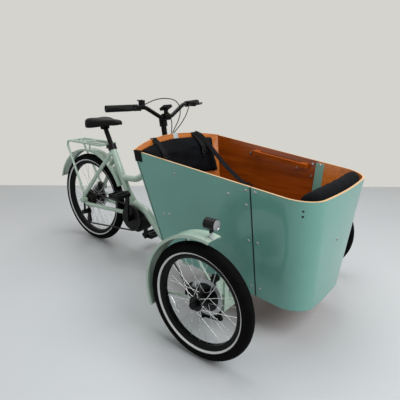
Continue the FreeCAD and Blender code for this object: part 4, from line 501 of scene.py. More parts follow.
@dataclass(frozen=True)
class PanelFinish(GrainFinish):
    """Plywood panel: painted outside, varnished inside, bare on its edges."""

    rough: tuple[float, float] = (0.15, 0.22)
    coat: float = 0.3
    specular: float = 0.35
    outside: Colour = paint(103, 158, 146)
    outside_high: Colour = paint(109, 164, 153)
    outside_scale: float = 3.0
    edge: Colour = paint(222, 176, 124)
    edge_dark: float = 0.72
    edge_upright: float = 0.7
    middle: Point = (0.40, 0.0, 0.45)

    def _colour(self, graph: Graph) -> tuple[Socket, Socket]:
        """Give each face the colour of its side of the panel.

        Args:
            graph: The material's graph.

        Returns:
            The colour's and the value's sockets.
        """
        inner, fibre = super()._colour(graph)
        texture = graph.add("TexCoord")
        apart = {0: texture.outputs["Object"], 1: self.middle}
        away = graph.add("VectorMath", apart, operation="SUBTRACT").outputs[0]
        level = graph.add("VectorMath", {0: away, 1: (1.0, 1.0, 0.0)}, operation="MULTIPLY").outputs[0]
        facing = graph.add("VectorMath", {0: level, 1: texture.outputs["Normal"]}, operation="DOT_PRODUCT")
        out = graph.math("GREATER_THAN", facing.outputs["Value"], 0.0)
        colours = {"Low": self.outside, "High": self.outside_high, "Scale": self.outside_scale}
        coat = EFFECTS.place(graph, Effect.MOTTLE, colours)
        both = graph.mix(out, inner, coat.outputs["Color"])
        up = graph.add("SeparateXYZ", {0: texture.outputs["Normal"]}).outputs["Z"]
        rim = graph.math("GREATER_THAN", graph.math("ABSOLUTE", up), self.edge_upright)
        bare = graph.mix(fibre, self.edge, tuple(self.edge_dark * c for c in self.edge[:3]) + (1.0,))
        return graph.mix(rim, both, bare), coat.outputs["Value"]


@dataclass(frozen=True)
class WheelFinish(Finish):
    """Finish of a turned piece, with a band about its axle in another colour."""

    axle: Point = (0.0, 0.0, 0.0)
    band: tuple[float, float] = (0.0, 0.0)
    band_colour: Colour = (0.0, 0.0, 0.0, 1.0)
    tread_radius: float = 0.0
    tread_blocks: float = 84.0
    tread_lean: float = 520.0
    tread_ribs: float = 560.0
    tread_depth: float = 0.002
    tread_insets: tuple[float, float] = (0.013, 0.008)

    def _radius(self, graph: Graph) -> tuple[Socket, Socket]:
        """Give a point's distance from the axle and its place seen from there.

        Args:
            graph: The material's graph.

        Returns:
            The distance's and the place's sockets.
        """
        place = graph.add("VectorMath", {0: graph.place(), 1: self.axle}, operation="SUBTRACT").outputs[0]
        flat = graph.add("VectorMath", {0: place, 1: (1.0, 0.0, 1.0)}, operation="MULTIPLY").outputs[0]
        return graph.add("VectorMath", {0: flat}, operation="LENGTH").outputs["Value"], place

    def _colour(self, graph: Graph) -> tuple[Socket, Socket]:
        """Give the colour with its band.

        Args:
            graph: The material's graph.

        Returns:
            The colour's and the value's sockets.
        """
        base, value = super()._colour(graph)
        radius, _ = self._radius(graph)
        after = graph.math("GREATER_THAN", radius, self.band[0])
        before = graph.math("LESS_THAN", radius, self.band[1])
        return graph.mix(graph.math("MULTIPLY", after, before), base, self.band_colour), value

    def _relief(self, graph: Graph, shader: Node, value: Socket) -> None:
        """Add tread blocks about the crown, where the piece has them.

        Args:
            graph: The material's graph.
            shader: The surface shader.
            value: A value that varies over the surface.
        """
        if not self.tread_radius:
            super()._relief(graph, shader, value)
            return
        radius, place = self._radius(graph)
        parts = graph.add("SeparateXYZ", {0: place})
        turn = graph.math("ARCTAN2", parts.outputs["X"], parts.outputs["Z"])
        lean = graph.math("MULTIPLY", graph.math("ABSOLUTE", parts.outputs["Y"]), self.tread_lean)
        wave = graph.math("SINE", graph.math("ADD", graph.math("MULTIPLY", turn, self.tread_blocks), lean))
        ribs = graph.math("COSINE", graph.math("MULTIPLY", parts.outputs["Y"], self.tread_ribs))
        crown = graph.ramp(radius, *(self.tread_radius - inset for inset in self.tread_insets))
        raised = graph.math("MAXIMUM", graph.ramp(wave, low=-0.2, high=0.4), graph.ramp(ribs, low=0.5, high=0.8))
        graph.bump(shader, graph.math("MULTIPLY", crown, raised), strength=1.0, distance=self.tread_depth)


def blank_material(name: str) -> tuple[Material, Graph, Node]:
    """Make a material with only its surface shader.

    Args:
        name: The material's name.

    Returns:
        The material, its graph and its surface shader.
    """
    made = bpy.data.materials.new(name)
    made.use_nodes = True
    made.node_tree.nodes.clear()
    graph = Graph(made.node_tree)
    shader = graph.add("BsdfPrincipled")
    graph.add("OutputMaterial", {"Surface": shader.outputs[0]})
    return made, graph, shader


@dataclass(frozen=True)
class LensFinish(Look):
    """Clear or tinted plastic with a pebbled face."""

    colour: Colour
    clearness: float
    bending: float = 1.49
    rough: tuple[float, float] = (0.04, 0.12)
    cell_scale: float = 260.0
    cell_strength: float = 0.5
    cell_depth: float = 0.0006

    def _make(self) -> Material:
        """Build the material's nodes.

        Returns:
            The new material.
        """
        made, graph, shader = blank_material(self.name)
        shader.inputs["Base Color"].default_value = self.colour
        shader.inputs["Transmission Weight"].default_value = self.clearness
        shader.inputs["IOR"].default_value = self.bending
        cells = EFFECTS.place(graph, Effect.PEBBLE, {"Scale": self.cell_scale}).outputs["Height"]
        graph.bump(shader, cells, self.cell_strength, self.cell_depth)
        graph.link(graph.ramp(cells, 0.0, 1.0, *self.rough), shader, "Roughness")
        return made


SAGE = Finish("sage_paint", paint(160, 183, 168), paint(170, 191, 177), 4.0, (0.16, 0.24), coat=0.6,
              wear=paint(190, 200, 190), dust=0.1)
BLACK_PAINT = Finish("black_paint", paint(6, 6, 7), paint(11, 11, 12), 14.0, (0.34, 0.46), specular=0.1,
                     wear=paint(60, 60, 62))
BLACK_ALLOY = Finish("black_alloy", paint(16, 16, 17), paint(28, 28, 30), 30.0, (0.26, 0.4), metallic=0.7,
                     specular=0.3, wear=paint(96, 96, 98))
STEEL = Finish("bright_steel", paint(196, 198, 200), paint(222, 223, 224), 60.0, (0.16, 0.3), metallic=1.0)
SCREW_STEEL = Finish("domed_screws", paint(146, 150, 152), paint(174, 178, 180), 80.0, (0.12, 0.22), metallic=1.0)
CHAIN_STEEL = Finish("oiled_steel", paint(24, 23, 22), paint(52, 50, 47), 120.0, (0.34, 0.55), metallic=0.5,
                     specular=0.25)
ZINC = Finish("zinc_plate", paint(176, 186, 188), paint(200, 206, 206), 40.0, (0.3, 0.4), metallic=0.3,
              wear=paint(224, 228, 228))
RUBBER = Finish("grip_rubber", paint(11, 11, 11), paint(19, 19, 19), 40.0, (0.62, 0.8), specular=0.15,
                relief=Effect.WEAVE, relief_scale=190.0, relief_depth=0.0006)
PLASTIC = Finish("moulded_plastic", paint(8, 8, 9), paint(15, 15, 16), 22.0, (0.46, 0.6), specular=0.12,
                 relief=Effect.PEBBLE, relief_scale=1400.0, relief_depth=0.00015)
GLOSS_PLASTIC = Finish("gloss_plastic", paint(8, 8, 9), paint(14, 14, 15), 12.0, (0.34, 0.48), specular=0.16)
HOSE = Finish("cable_housing", paint(10, 10, 10), paint(17, 17, 17), 60.0, (0.4, 0.52), specular=0.2)
VINYL = Finish("saddle_vinyl", paint(8, 8, 8), paint(14, 14, 14), 16.0, (0.44, 0.58), specular=0.12,
               relief=Effect.PEBBLE, relief_scale=1100.0, relief_depth=0.0003)
CANVAS = Finish("black_canvas", paint(8, 9, 12), paint(15, 17, 21), 10.0, (0.66, 0.86), specular=0.07,
                relief=Effect.WEAVE, relief_scale=420.0, relief_depth=0.0005)
WEBBING = Finish("strap_webbing", paint(9, 9, 11), paint(19, 19, 22), 70.0, (0.6, 0.8), specular=0.12,
                 relief=Effect.WEAVE, relief_scale=300.0, relief_depth=0.0006)
STRIP = Finish("strip_paint", paint(96, 142, 130), paint(106, 150, 138), 6.0, (0.2, 0.3), coat=0.4,
               wear=paint(196, 190, 170))
FLOOR = Finish("studio_floor", paint(194, 197, 200), paint(188, 192, 196), 0.6, (0.3, 0.42))
VARNISH = GrainFinish("varnished_floor", paint(124, 58, 14), paint(164, 86, 26), rough=(0.2, 0.32), coat=0.3,
                      dust=0.06)
HANDLE = GrainFinish("varnished_handle", paint(128, 56, 6), paint(160, 78, 12), rough=(0.3, 0.45), coat=0.04,
                     specular=0.2, stretch=(14.0, 220.0, 220.0))
SIDE_PANEL = PanelFinish("side_panel", paint(118, 50, 4), paint(146, 68, 10), stretch=(5.0, 70.0, 70.0))
END_PANEL = PanelFinish("end_panel", paint(160, 84, 22), paint(196, 114, 42), stretch=(50.0, 5.0, 70.0))
RED_LENS = LensFinish("red_lens", paint(150, 16, 14), 0.25)
LAMP_LENS = LensFinish("lamp_lens", paint(196, 202, 206), 0.55)
SLOT_LOOK: dict[str, Look] = {
    "sage_metal": SAGE, "varnished_ply": VARNISH, "handle_wood": HANDLE, "black_metal": BLACK_PAINT,
    "spoke_steel": STEEL, "chain_steel": CHAIN_STEEL, "screw_steel": SCREW_STEEL, "bracket_grey": ZINC,
    "soft_rubber": RUBBER, "black_plastic": PLASTIC, "saddle_cover": VINYL, "black_fabric": CANVAS,
    "green_ply": SIDE_PANEL, "tail_lens": RED_LENS}
NODE_LOOK: dict[str, Look] = {
    "box_front_panel": END_PANEL, "box_rear_panel": END_PANEL, "seam_strips": STRIP, "cranks": BLACK_ALLOY,
    "derailleur": BLACK_ALLOY, "rear_caliper": BLACK_ALLOY, "right_brake_lever": BLACK_ALLOY,
    "left_brake_lever": BLACK_ALLOY, "handlebar": BLACK_ALLOY, "seat_clamp": BLACK_ALLOY}


class Mesher:
    """Makes mesh objects from points and faces."""

    @staticmethod
    def from_faces(name: str, points: Sequence[Sequence[float]], faces: Sequence[Sequence[int]],
                   smooth: bool = True) -> Piece:
        """Make a mesh object with outward faces.

        Args:
            name: The object's name.
            points: Its corners.
            faces: Corner numbers of each face.
            smooth: Whether its faces are shaded smooth.

        Returns:
            The new object, in the scene.
        """
        mesh = bpy.data.meshes.new(name)
        mesh.from_pydata([tuple(p) for p in points], [], [tuple(f) for f in faces])
        work = bmesh.new()
        work.from_mesh(mesh)
        bmesh.ops.remove_doubles(work, verts=work.verts, dist=SAME_POINT)
        bmesh.ops.recalc_face_normals(work, faces=work.faces)
        work.to_mesh(mesh)
        work.free()
        mesh.polygons.foreach_set("use_smooth", [smooth] * len(mesh.polygons))
        made = bpy.data.objects.new(name, mesh)
        bpy.context.scene.collection.objects.link(made)
        return made

    @staticmethod
    def loft(name: str, rings: Sequence[Sequence[Vector]], closed: bool = False) -> Piece:
        """Skin rings of equal counts.

        Args:
            name: The object's name.
            rings: Corner points ring by ring.
            closed: Whether the last ring joins the first, instead of a fan over each end.

        Returns:
            The new object.
        """
        count = len(rings[0])
        points = [point for corners in rings for point in corners]
        faces = []
        for index in range(len(rings) if closed else len(rings) - 1):
            low, high = index * count, (index + 1) % len(rings) * count
            faces += [(low + k, low + (k + 1) % count, high + (k + 1) % count, high + k) for k in range(count)]
        if not closed:
            for start in (0, (len(rings) - 1) * count):
                points.append(sum((points[start + k] for k in range(count)), Vector()) / count)
                faces += [(start + k, start + (k + 1) % count, len(points) - 1) for k in range(count)]
        return Mesher.from_faces(name, points, faces)

    @staticmethod
    def tube(name: str, path: Sequence[Vector], radius: float, sides: int = 12) -> Piece:
        """Make a round tube along points.

        Args:
            name: The object's name.
            path: Points of the middle line.
            radius: The tube's radius.
            sides: Corners of each ring.

        Returns:
            The new object.
        """
        rings = []
        up = ASKEW
        for point, ahead in zip(path, headings(path)):
            up = (up - ahead * up.dot(ahead)).normalized()
            rings.append(ring(point, up, ahead.cross(up), radius, sides))
        return Mesher.loft(name, rings)

    @staticmethod
    def subdivide(piece: Piece, levels: int) -> None:
        """Round a piece off with an applied subdivision surface.

        Args:
            piece: The piece.
            levels: How many times each face is split.
        """
        step = piece.modifiers.new("round", "SUBSURF")
        step.levels = step.render_levels = levels
        Mesher.apply(piece)

    @staticmethod
    def apply(piece: Piece) -> None:
        """Apply every modifier of a piece.

        Args:
            piece: The piece.
        """
        bpy.context.view_layer.update()
        graph = bpy.context.evaluated_depsgraph_get()
        mesh = bpy.data.meshes.new_from_object(piece.evaluated_get(graph))
        piece.modifiers.clear()
        piece.data = mesh
        mesh.polygons.foreach_set("use_smooth", [True] * len(mesh.polygons))


def dress(piece: Piece, material: Material) -> Piece:
    """Give a piece or a carried-over node its material.

    Args:
        piece: The object.
        material: Its material.

    Returns:
        The same object.
    """
    if piece.material_slots:
        for slot in piece.material_slots:
            slot.material = material
    else:
        piece.data.materials.append(material)
    return piece


def settle(piece: Piece, material: Material, body: str, slot: str, *stands_for: str) -> Piece:
    """Dress a new piece and set it on its body.

    Args:
        piece: The new piece.
        material: Its material.
        body: The body that it moves with.
        slot: The record's slot of the piece; not used.
        stands_for: Nodes that it replaces.

    Returns:
        The same piece.
    """
    dress(piece, material)
    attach(piece, body)
    if stands_for:
        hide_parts(*stands_for)
    LOG.info("piece %s on %s: %d faces", piece.name, body, len(piece.data.polygons))
    return piece


@dataclass
class CarriedNodes:
    """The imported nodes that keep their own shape."""

    rear_axle: Point = (REAR_AXLE_X, 0.0, REAR_RADIUS)
    front_stripe_in: float = 0.0442
    rear_stripe_in: float = 0.0400
    stripe_half: float = 0.0036
    rotor_band: tuple[float, float] = (0.062, 0.1)
    bracket_band: tuple[float, float] = (0.034, 0.3)

    def dress(self) -> None:
        """Give every node its finish."""
        slots = {part["node"]: part["material_slot"] for part in frame["record"]["subparts"]}
        turned = {"tyre_rubber": self._tyre, "hub_metal": self._hub, "lamp_plastic": self._lamp_shell}
        for name, node in NODES.items():
            slot = slots[name]
            look = turned[slot](name.split("_")[0]) if slot in turned else NODE_LOOK.get(name, SLOT_LOOK[slot])
            dress(node, look.material())
        LOG.info("dressed %d packed nodes", len(NODES))

    def _axle(self, side: str) -> Point:
        """Give the centre of the right, left or rear wheel."""
        return self.rear_axle if side == "rear" else on_side(FRONT_AXLE, side)

    def _tyre(self, side: str) -> WheelFinish:
        """Give a tyre's rubber, with the pale stripe on its wall.

        Args:
            side: Which wheel.

        Returns:
            The finish.
        """
        rear = side == "rear"
        radius = REAR_RADIUS if rear else FRONT_RADIUS
        stripe = radius - (self.rear_stripe_in if rear else self.front_stripe_in)
        return WheelFinish(f"{side}_tyre_rubber", paint(6, 6, 7), paint(12, 12, 12), 30.0, (0.62, 0.78),
                           specular=0.04, axle=self._axle(side), tread_radius=radius,
                           band=(stripe - self.stripe_half, stripe + self.stripe_half),
                           band_colour=paint(206, 208, 208))

    def _hub(self, side: str) -> WheelFinish:
        """Give a hub's black metal, with the bright rotor about it.

        Args:
            side: Which wheel.

        Returns:
            The finish.
        """
        return WheelFinish(f"{side}_hub_metal", paint(18, 18, 20), paint(30, 30, 32), 30.0, (0.3, 0.42),
                           metallic=0.8, axle=self._axle(side), band=self.rotor_band,
                           band_colour=paint(168, 170, 172))

    def _lamp_shell(self, side: str) -> WheelFinish:
        """Give a headlight's black shell, with its bright bracket.

        Args:
            side: Which headlight.

        Returns:
            The finish.
        """
        return WheelFinish(f"{side}_lamp_shell", paint(8, 8, 9), paint(14, 14, 15), 12.0, (0.34, 0.48),
                           specular=0.15, axle=on_side(LAMP_CENTRE, side), band=self.bracket_band,
                           band_colour=paint(178, 184, 186))


@dataclass
class BoxForm:
    """The box's faces, which the soft pieces and the trim lie on."""

    foot_z: float = 0.150
    foot_half: float = 0.241
    side_lean: float = 0.17
    rear_foot_x: float = 0.8735 + REAR_AXLE_X
    rear_lean: float = 0.215
    rear_bow: float = 0.070
    wall: float = 0.010
    rim_z: float = 0.776
    rear_arch: float = 0.034
    front_foot_x: float = 1.695 + REAR_AXLE_X
    front_lean: float = 0.098
    bow_radius: float = 2.400
    corner_radius: float = 0.125
    fall: float = 0.1127
    rim_x: float = 0.810 + REAR_AXLE_X
    bench_rise: float = 0.274

    def half(self, z: float) -> float:
        """Give the half width of the box's outside at a height."""
        return self.foot_half + (z - self.foot_z) * self.side_lean

    def rear(self, z: float, y: float) -> float:
        """Give the X of the rear panel's outside at a height and a distance from the middle."""
        return self.rear_foot_x - (z - self.foot_z) * self.rear_lean + self.rear_bow * (y / self.half(z)) ** 2

    def rear_rim(self, y: float) -> float:
        """Give the height of the rear panel's rim."""
        return self.rim_z + self.rear_arch * (1 - (y / self.half(self.rim_z)) ** 2)

    def rim(self, x: float) -> float:
        """Give the height of the side panels' rim."""
        return self.rim_z - (x - self.rim_x) * self.fall

    def bench(self, x: float) -> float:
        """Give the height of the bench's upper face."""
        return self.foot_z + (self.front_foot_x - x) * self.fall + self.bench_rise

    def front(self, z: float, y: float, inset: float) -> tuple[float, float]:
        """Give the front wall's X and slope at a height and a distance from the middle.

        Args:
            z: Height.
            y: Distance from the middle.
            inset: How far inside the outer face.

        Returns:
            The wall's X, and its angle from facing straight ahead.
        """
        across = abs(y)
        half = self.half(z) - inset
        bow, radius = self.bow_radius - inset, self.corner_radius - inset
        bow_x = self.front_foot_x + (z - self.foot_z) * self.front_lean - inset - bow
        corner_x = bow_x + math.sqrt((bow - radius) ** 2 - (half - radius) ** 2)
        turn = math.atan2(half - radius, corner_x - bow_x)
        if across < bow * math.sin(turn):
            slope = math.asin(across / bow)
            return bow_x + bow * math.cos(slope), slope
        slope = math.asin(min((across - half + radius) / radius, 1.0))
        return corner_x + radius * math.cos(slope), slope


class Stuffing:
    """Swells pads with a cloth simulation and keeps them near their rest shape."""

    voxel: float = 0.006
    frames: int = 16
    pressure: float = 4.0
    still: float = 1e-9

    @classmethod
    def swell(cls, piece: Piece, cap: float, held: Callable[[Vector], bool]) -> None:
        """Puff a pad up.

        Args:
            piece: The pad.
            cap: How far a point may move.
            held: Says which points of the pad stay where they are.
        """
        remesh = piece.modifiers.new("even", "REMESH")
        remesh.mode = "VOXEL"
        remesh.voxel_size = cls.voxel
        Mesher.apply(piece)
        start = [vertex.co.copy() for vertex in piece.data.vertices]
        pinned = piece.vertex_groups.new(name="held")
        pinned.add([index for index, point in enumerate(start) if held(point)], 1.0, "REPLACE")
        cloth = piece.modifiers.new("cloth", "CLOTH")
        cloth.settings.use_pressure = True
        cloth.settings.uniform_pressure_force = cls.pressure
        cloth.settings.effector_weights.gravity = 0.0
        cloth.settings.vertex_group_mass = pinned.name
        scene = bpy.context.scene
        for number in range(1, cls.frames + 1):
            scene.frame_set(number)
        graph = bpy.context.evaluated_depsgraph_get()
        moved = [vertex.co.copy() for vertex in piece.evaluated_get(graph).data.vertices]
        scene.frame_set(1)
        piece.modifiers.clear()
        piece.vertex_groups.clear()
        for vertex, rest, now in zip(piece.data.vertices, start, moved):
            step = now - rest
            vertex.co = rest + step * min(1.0, cap / max(step.length, cls.still))
        piece.data.update()


@dataclass
class Cushions:
    """The bench's pad and backrest, and the roll along the front rim."""

    box: BoxForm
    back_half: float = 0.283
    back_thick: float = 0.046
    back_gap: float = 0.0045
    back_foot: float = 0.058
    back_drop: float = 0.020
    back_held: float = 0.012
    back_cap: float = 0.006
    back_draw: tuple[float, float] = (0.03, 0.035)
    back_swell: tuple[float, float] = (0.22, 0.68)
    back_fold: float = 0.004
    back_waves: tuple[tuple[float, float], ...] = ((9.0, 3.0), (-2.0, 7.0))
    pad_half: float = 0.262
    pad_thick: float = 0.044
    pad_gap: float = 0.0006
    pad_behind: float = 0.026
    pad_front: float = 1.184 + REAR_AXLE_X
    pad_held: float = 0.008
    pad_cap: float = 0.005
    pad_draw: tuple[float, float] = (0.03, 0.04)
    pad_swell: tuple[float, float] = (0.3, 0.6)
    pad_seam: tuple[float, float] = (0.35, 0.03)
    roll_half: float = 0.268
    roll_radius: float = 0.042
    roll_press: float = 0.002
    roll_held: float = 0.02
    roll_cap: float = 0.003
    roll_full: float = 0.94
    roll_tip: float = 0.002
    roll_pinch: float = 0.03
    roll_waves: tuple[float, float] = (31.0, 11.0)
    roll_power: int = 10
    roll_flat: float = 0.86
    roll_steps: int = 44
    roll_sides: int = 24

    def build(self) -> None:
        """Make and dress the three pads."""
        pads = ((self._backrest(), "bench_cushions"), (self._bench_pad(), "bench_cushions"),
                (self._front_roll(), "front_roll_cushion"))
        for piece, node in pads:
            settle(piece, CANVAS.material(), "frame", "black_fabric", node)

    @staticmethod
    def _drawn(share: float, across: float, along: float) -> float:
        """Give how far an edge is drawn in between its corners."""
        return 1 - share * (1 - across * across) * abs(along) ** 3

    @staticmethod
    def _crown(u: float, v: float, power: int) -> float:
        """Give a pad's swelling, from 0 at its edge to 1 in its middle."""
        return (1 - abs(u) ** 6) ** 0.5 * (1 - abs(v) ** power) ** 0.5

    def _pad(self, name: str, spot: Callable[[float, float, float], Vector], across: int, along: int) -> Piece:
        """Make a closed pad from a map of its own directions.

        Args:
            name: The piece's name.
            spot: Gives a point from two directions between -1 and 1 and a share of the thickness.
            across: Steps across.
            along: Steps along.

        Returns:
            The pad.
        """
        points, faces = [], []
        for layer in (0.0, 1.0):
            for i in range(across + 1):
                for j in range(along + 1):
                    u, v = 2 * i / across - 1, 2 * j / along - 1
                    points.append(spot(u, v, layer))
        row = along + 1
        size = (across + 1) * row
        for i in range(across):
            for j in range(along):
                a = i * row + j
                faces.append((a, a + 1, a + row + 1, a + row))
                faces.append((size + a, size + a + row, size + a + row + 1, size + a + 1))
        edge = ([(i * row, (i + 1) * row) for i in range(across)]
                + [(across * row + j, across * row + j + 1) for j in range(along)]
                + [((i + 1) * row + along, i * row + along) for i in range(across)]
                + [(j + 1, j) for j in range(along)])
        faces += [(a, b, size + b, size + a) for a, b in edge]
        return Mesher.from_faces(name, points, faces)

    def _backrest(self) -> Piece:
        """Make the backrest, which leans on the rear panel.

        Returns:
            The pad.
        """
        box = self.box
        low = box.bench(box.rear_foot_x) + self.back_foot
        behind = box.wall + self.back_gap

        def spot(u: float, v: float, layer: float) -> Vector:
            """Give a point of the backrest.

            Args:
                u: Place across, from -1 to 1.
                v: Place along, from -1 to 1.
                layer: Share of the thickness.

            Returns:
                The point.
            """
            y = u * self.back_half * self._drawn(self.back_draw[0], v, u)
            top = box.rear_rim(y) - self.back_drop
            middle, half = (low + top) / 2, (top - low) / 2
            z = middle + half * v * self._drawn(self.back_draw[1], u, v)
            crown = self._crown(u, v, 5)
            first, second = [math.sin(a * u + b * v) for a, b in self.back_waves]
            fold = self.back_fold * first * second * crown
            thick = self.back_thick * (self.back_swell[0] + self.back_swell[1] * crown) + fold
            return Vector((box.rear(z, y) + behind + thick * layer, y, z))

        pad = self._pad("bench_backrest", spot, across=40, along=18)
        Stuffing.swell(pad, self.back_cap, lambda p: p.x < box.rear(p.z, p.y) + behind + self.back_held)
        Mesher.subdivide(pad, 1)
        return pad

    def _bench_pad(self) -> Piece:
        """Make the seat pad, which lies on the bench.

        Returns:
            The pad.
        """
        box = self.box
        back = box.rear(box.bench(box.rear_foot_x), 0) + box.rear_bow + self.pad_behind
        middle, half = (back + self.pad_front) / 2, (self.pad_front - back) / 2

        def spot(u: float, v: float, layer: float) -> Vector:
            """Give a point of the seat pad.

            Args:
                u: Place across, from -1 to 1.
                v: Place along, from -1 to 1.
                layer: Share of the thickness.

            Returns:
                The point.
            """
            y = u * self.pad_half * self._drawn(self.pad_draw[0], v, u)
            x = middle + half * v * self._drawn(self.pad_draw[1], u, v)
            seam = 1 - self.pad_seam[0] * math.exp(-((u / self.pad_seam[1]) ** 2))
            thick = self.pad_thick * (self.pad_swell[0] + self.pad_swell[1] * self._crown(u, v, 6) * seam)
            return Vector((x, y, box.bench(x) + self.pad_gap + thick * layer))

        pad = self._pad("bench_pad", spot, across=40, along=22)
        Stuffing.swell(pad, self.pad_cap, lambda p: p.z < box.bench(p.x) + self.pad_held)
        Mesher.subdivide(pad, 1)
        return pad

    def _front_roll(self) -> Piece:
        """Make the roll, which hugs the front panel's rim.

        Returns:
            The pad.
        """
        box = self.box
        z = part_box("front_roll_cushion")[1].z - self.roll_radius
        rings = []
        for index in range(self.roll_steps + 1):
            u = 2 * index / self.roll_steps - 1
            y = u * self.roll_half
            wall, slope = box.front(z, y, box.wall)
            x = wall - self.roll_radius / math.cos(slope) + self.roll_press
            size = self.roll_radius * (1 - abs(u) ** self.roll_power) ** 0.5 * self.roll_full + self.roll_tip
            first, second = [wave * u for wave in self.roll_waves]
            size *= 1 + self.roll_pinch * math.sin(first) * math.sin(second + 1)
            rings.append([Vector((x + size * (self.roll_flat if math.cos(a) > 0 else 1.0) * math.cos(a), y,
                                  z + size * math.sin(a))) for a in turns(self.roll_sides)])
        roll = Mesher.loft("front_roll", rings)
        Stuffing.swell(roll, self.roll_cap, lambda p: p.x > box.front(p.z, p.y, box.wall)[0] - self.roll_held)
        Mesher.subdivide(roll, 1)
        return roll


@dataclass
class Saddle:
    """The rider's saddle: two padded lobes drawn in to a narrow nose."""

    stations: tuple[float, ...] = (0.0, 0.04, 0.12, 0.22, 0.34, 0.46, 0.58, 0.7, 0.82, 0.92, 0.98, 1.0)
    widths: tuple[float, ...] = (0.44, 0.70, 0.93, 1.0, 0.95, 0.76, 0.55, 0.40, 0.31, 0.26, 0.20, 0.12)
    depths: tuple[float, ...] = (0.70, 0.90, 0.99, 0.98, 0.92, 0.82, 0.72, 0.65, 0.60, 0.56, 0.51, 0.44)
    drops: tuple[float, ...] = (0.24, 0.10, 0.02, 0.0, 0.02, 0.06, 0.08, 0.07, 0.06, 0.08, 0.14, 0.22)
    sides: int = 32
    side_power: float = 0.42
    top_power: float = 0.55
    groove_depth: float = 0.006
    groove_half: float = 0.012
    groove_fade: float = 1.5
    hollow: float = 0.26
    hollow_power: float = 0.6

    def build(self) -> None:
        """Make and dress the saddle's cover."""
        low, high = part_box("saddle")
        length, half, height = high.x - low.x, (high.y - low.y) / 2, high.z - low.z
        rings = []
        for station, width, depth, drop in zip(self.stations, self.widths, self.depths, self.drops):
            x = low.x + length * station
            top, foot = high.z - height * drop, high.z - height * depth
            points = []
            for a in turns(self.sides):
                c, s = math.cos(a), math.sin(a)
                y = half * width * math.copysign(abs(c) ** self.side_power, c)
                z = (top + foot) / 2 + (top - foot) / 2 * math.copysign(abs(s) ** self.top_power, s)
                if s > 0:
                    groove = self.groove_depth * math.exp(-((y / self.groove_half) ** 2))
                    z -= groove * max(0.0, 1 - station * self.groove_fade)
                if s < 0:
                    z += (top - foot) * self.hollow * (1 - abs(c)) ** self.hollow_power
                points.append(Vector((x, y, z)))
            rings.append(points)
        cover = Mesher.loft("saddle_cover", rings)
        Mesher.subdivide(cover, 1)
        settle(cover, VINYL.material(), "seat", "saddle_cover", "saddle")


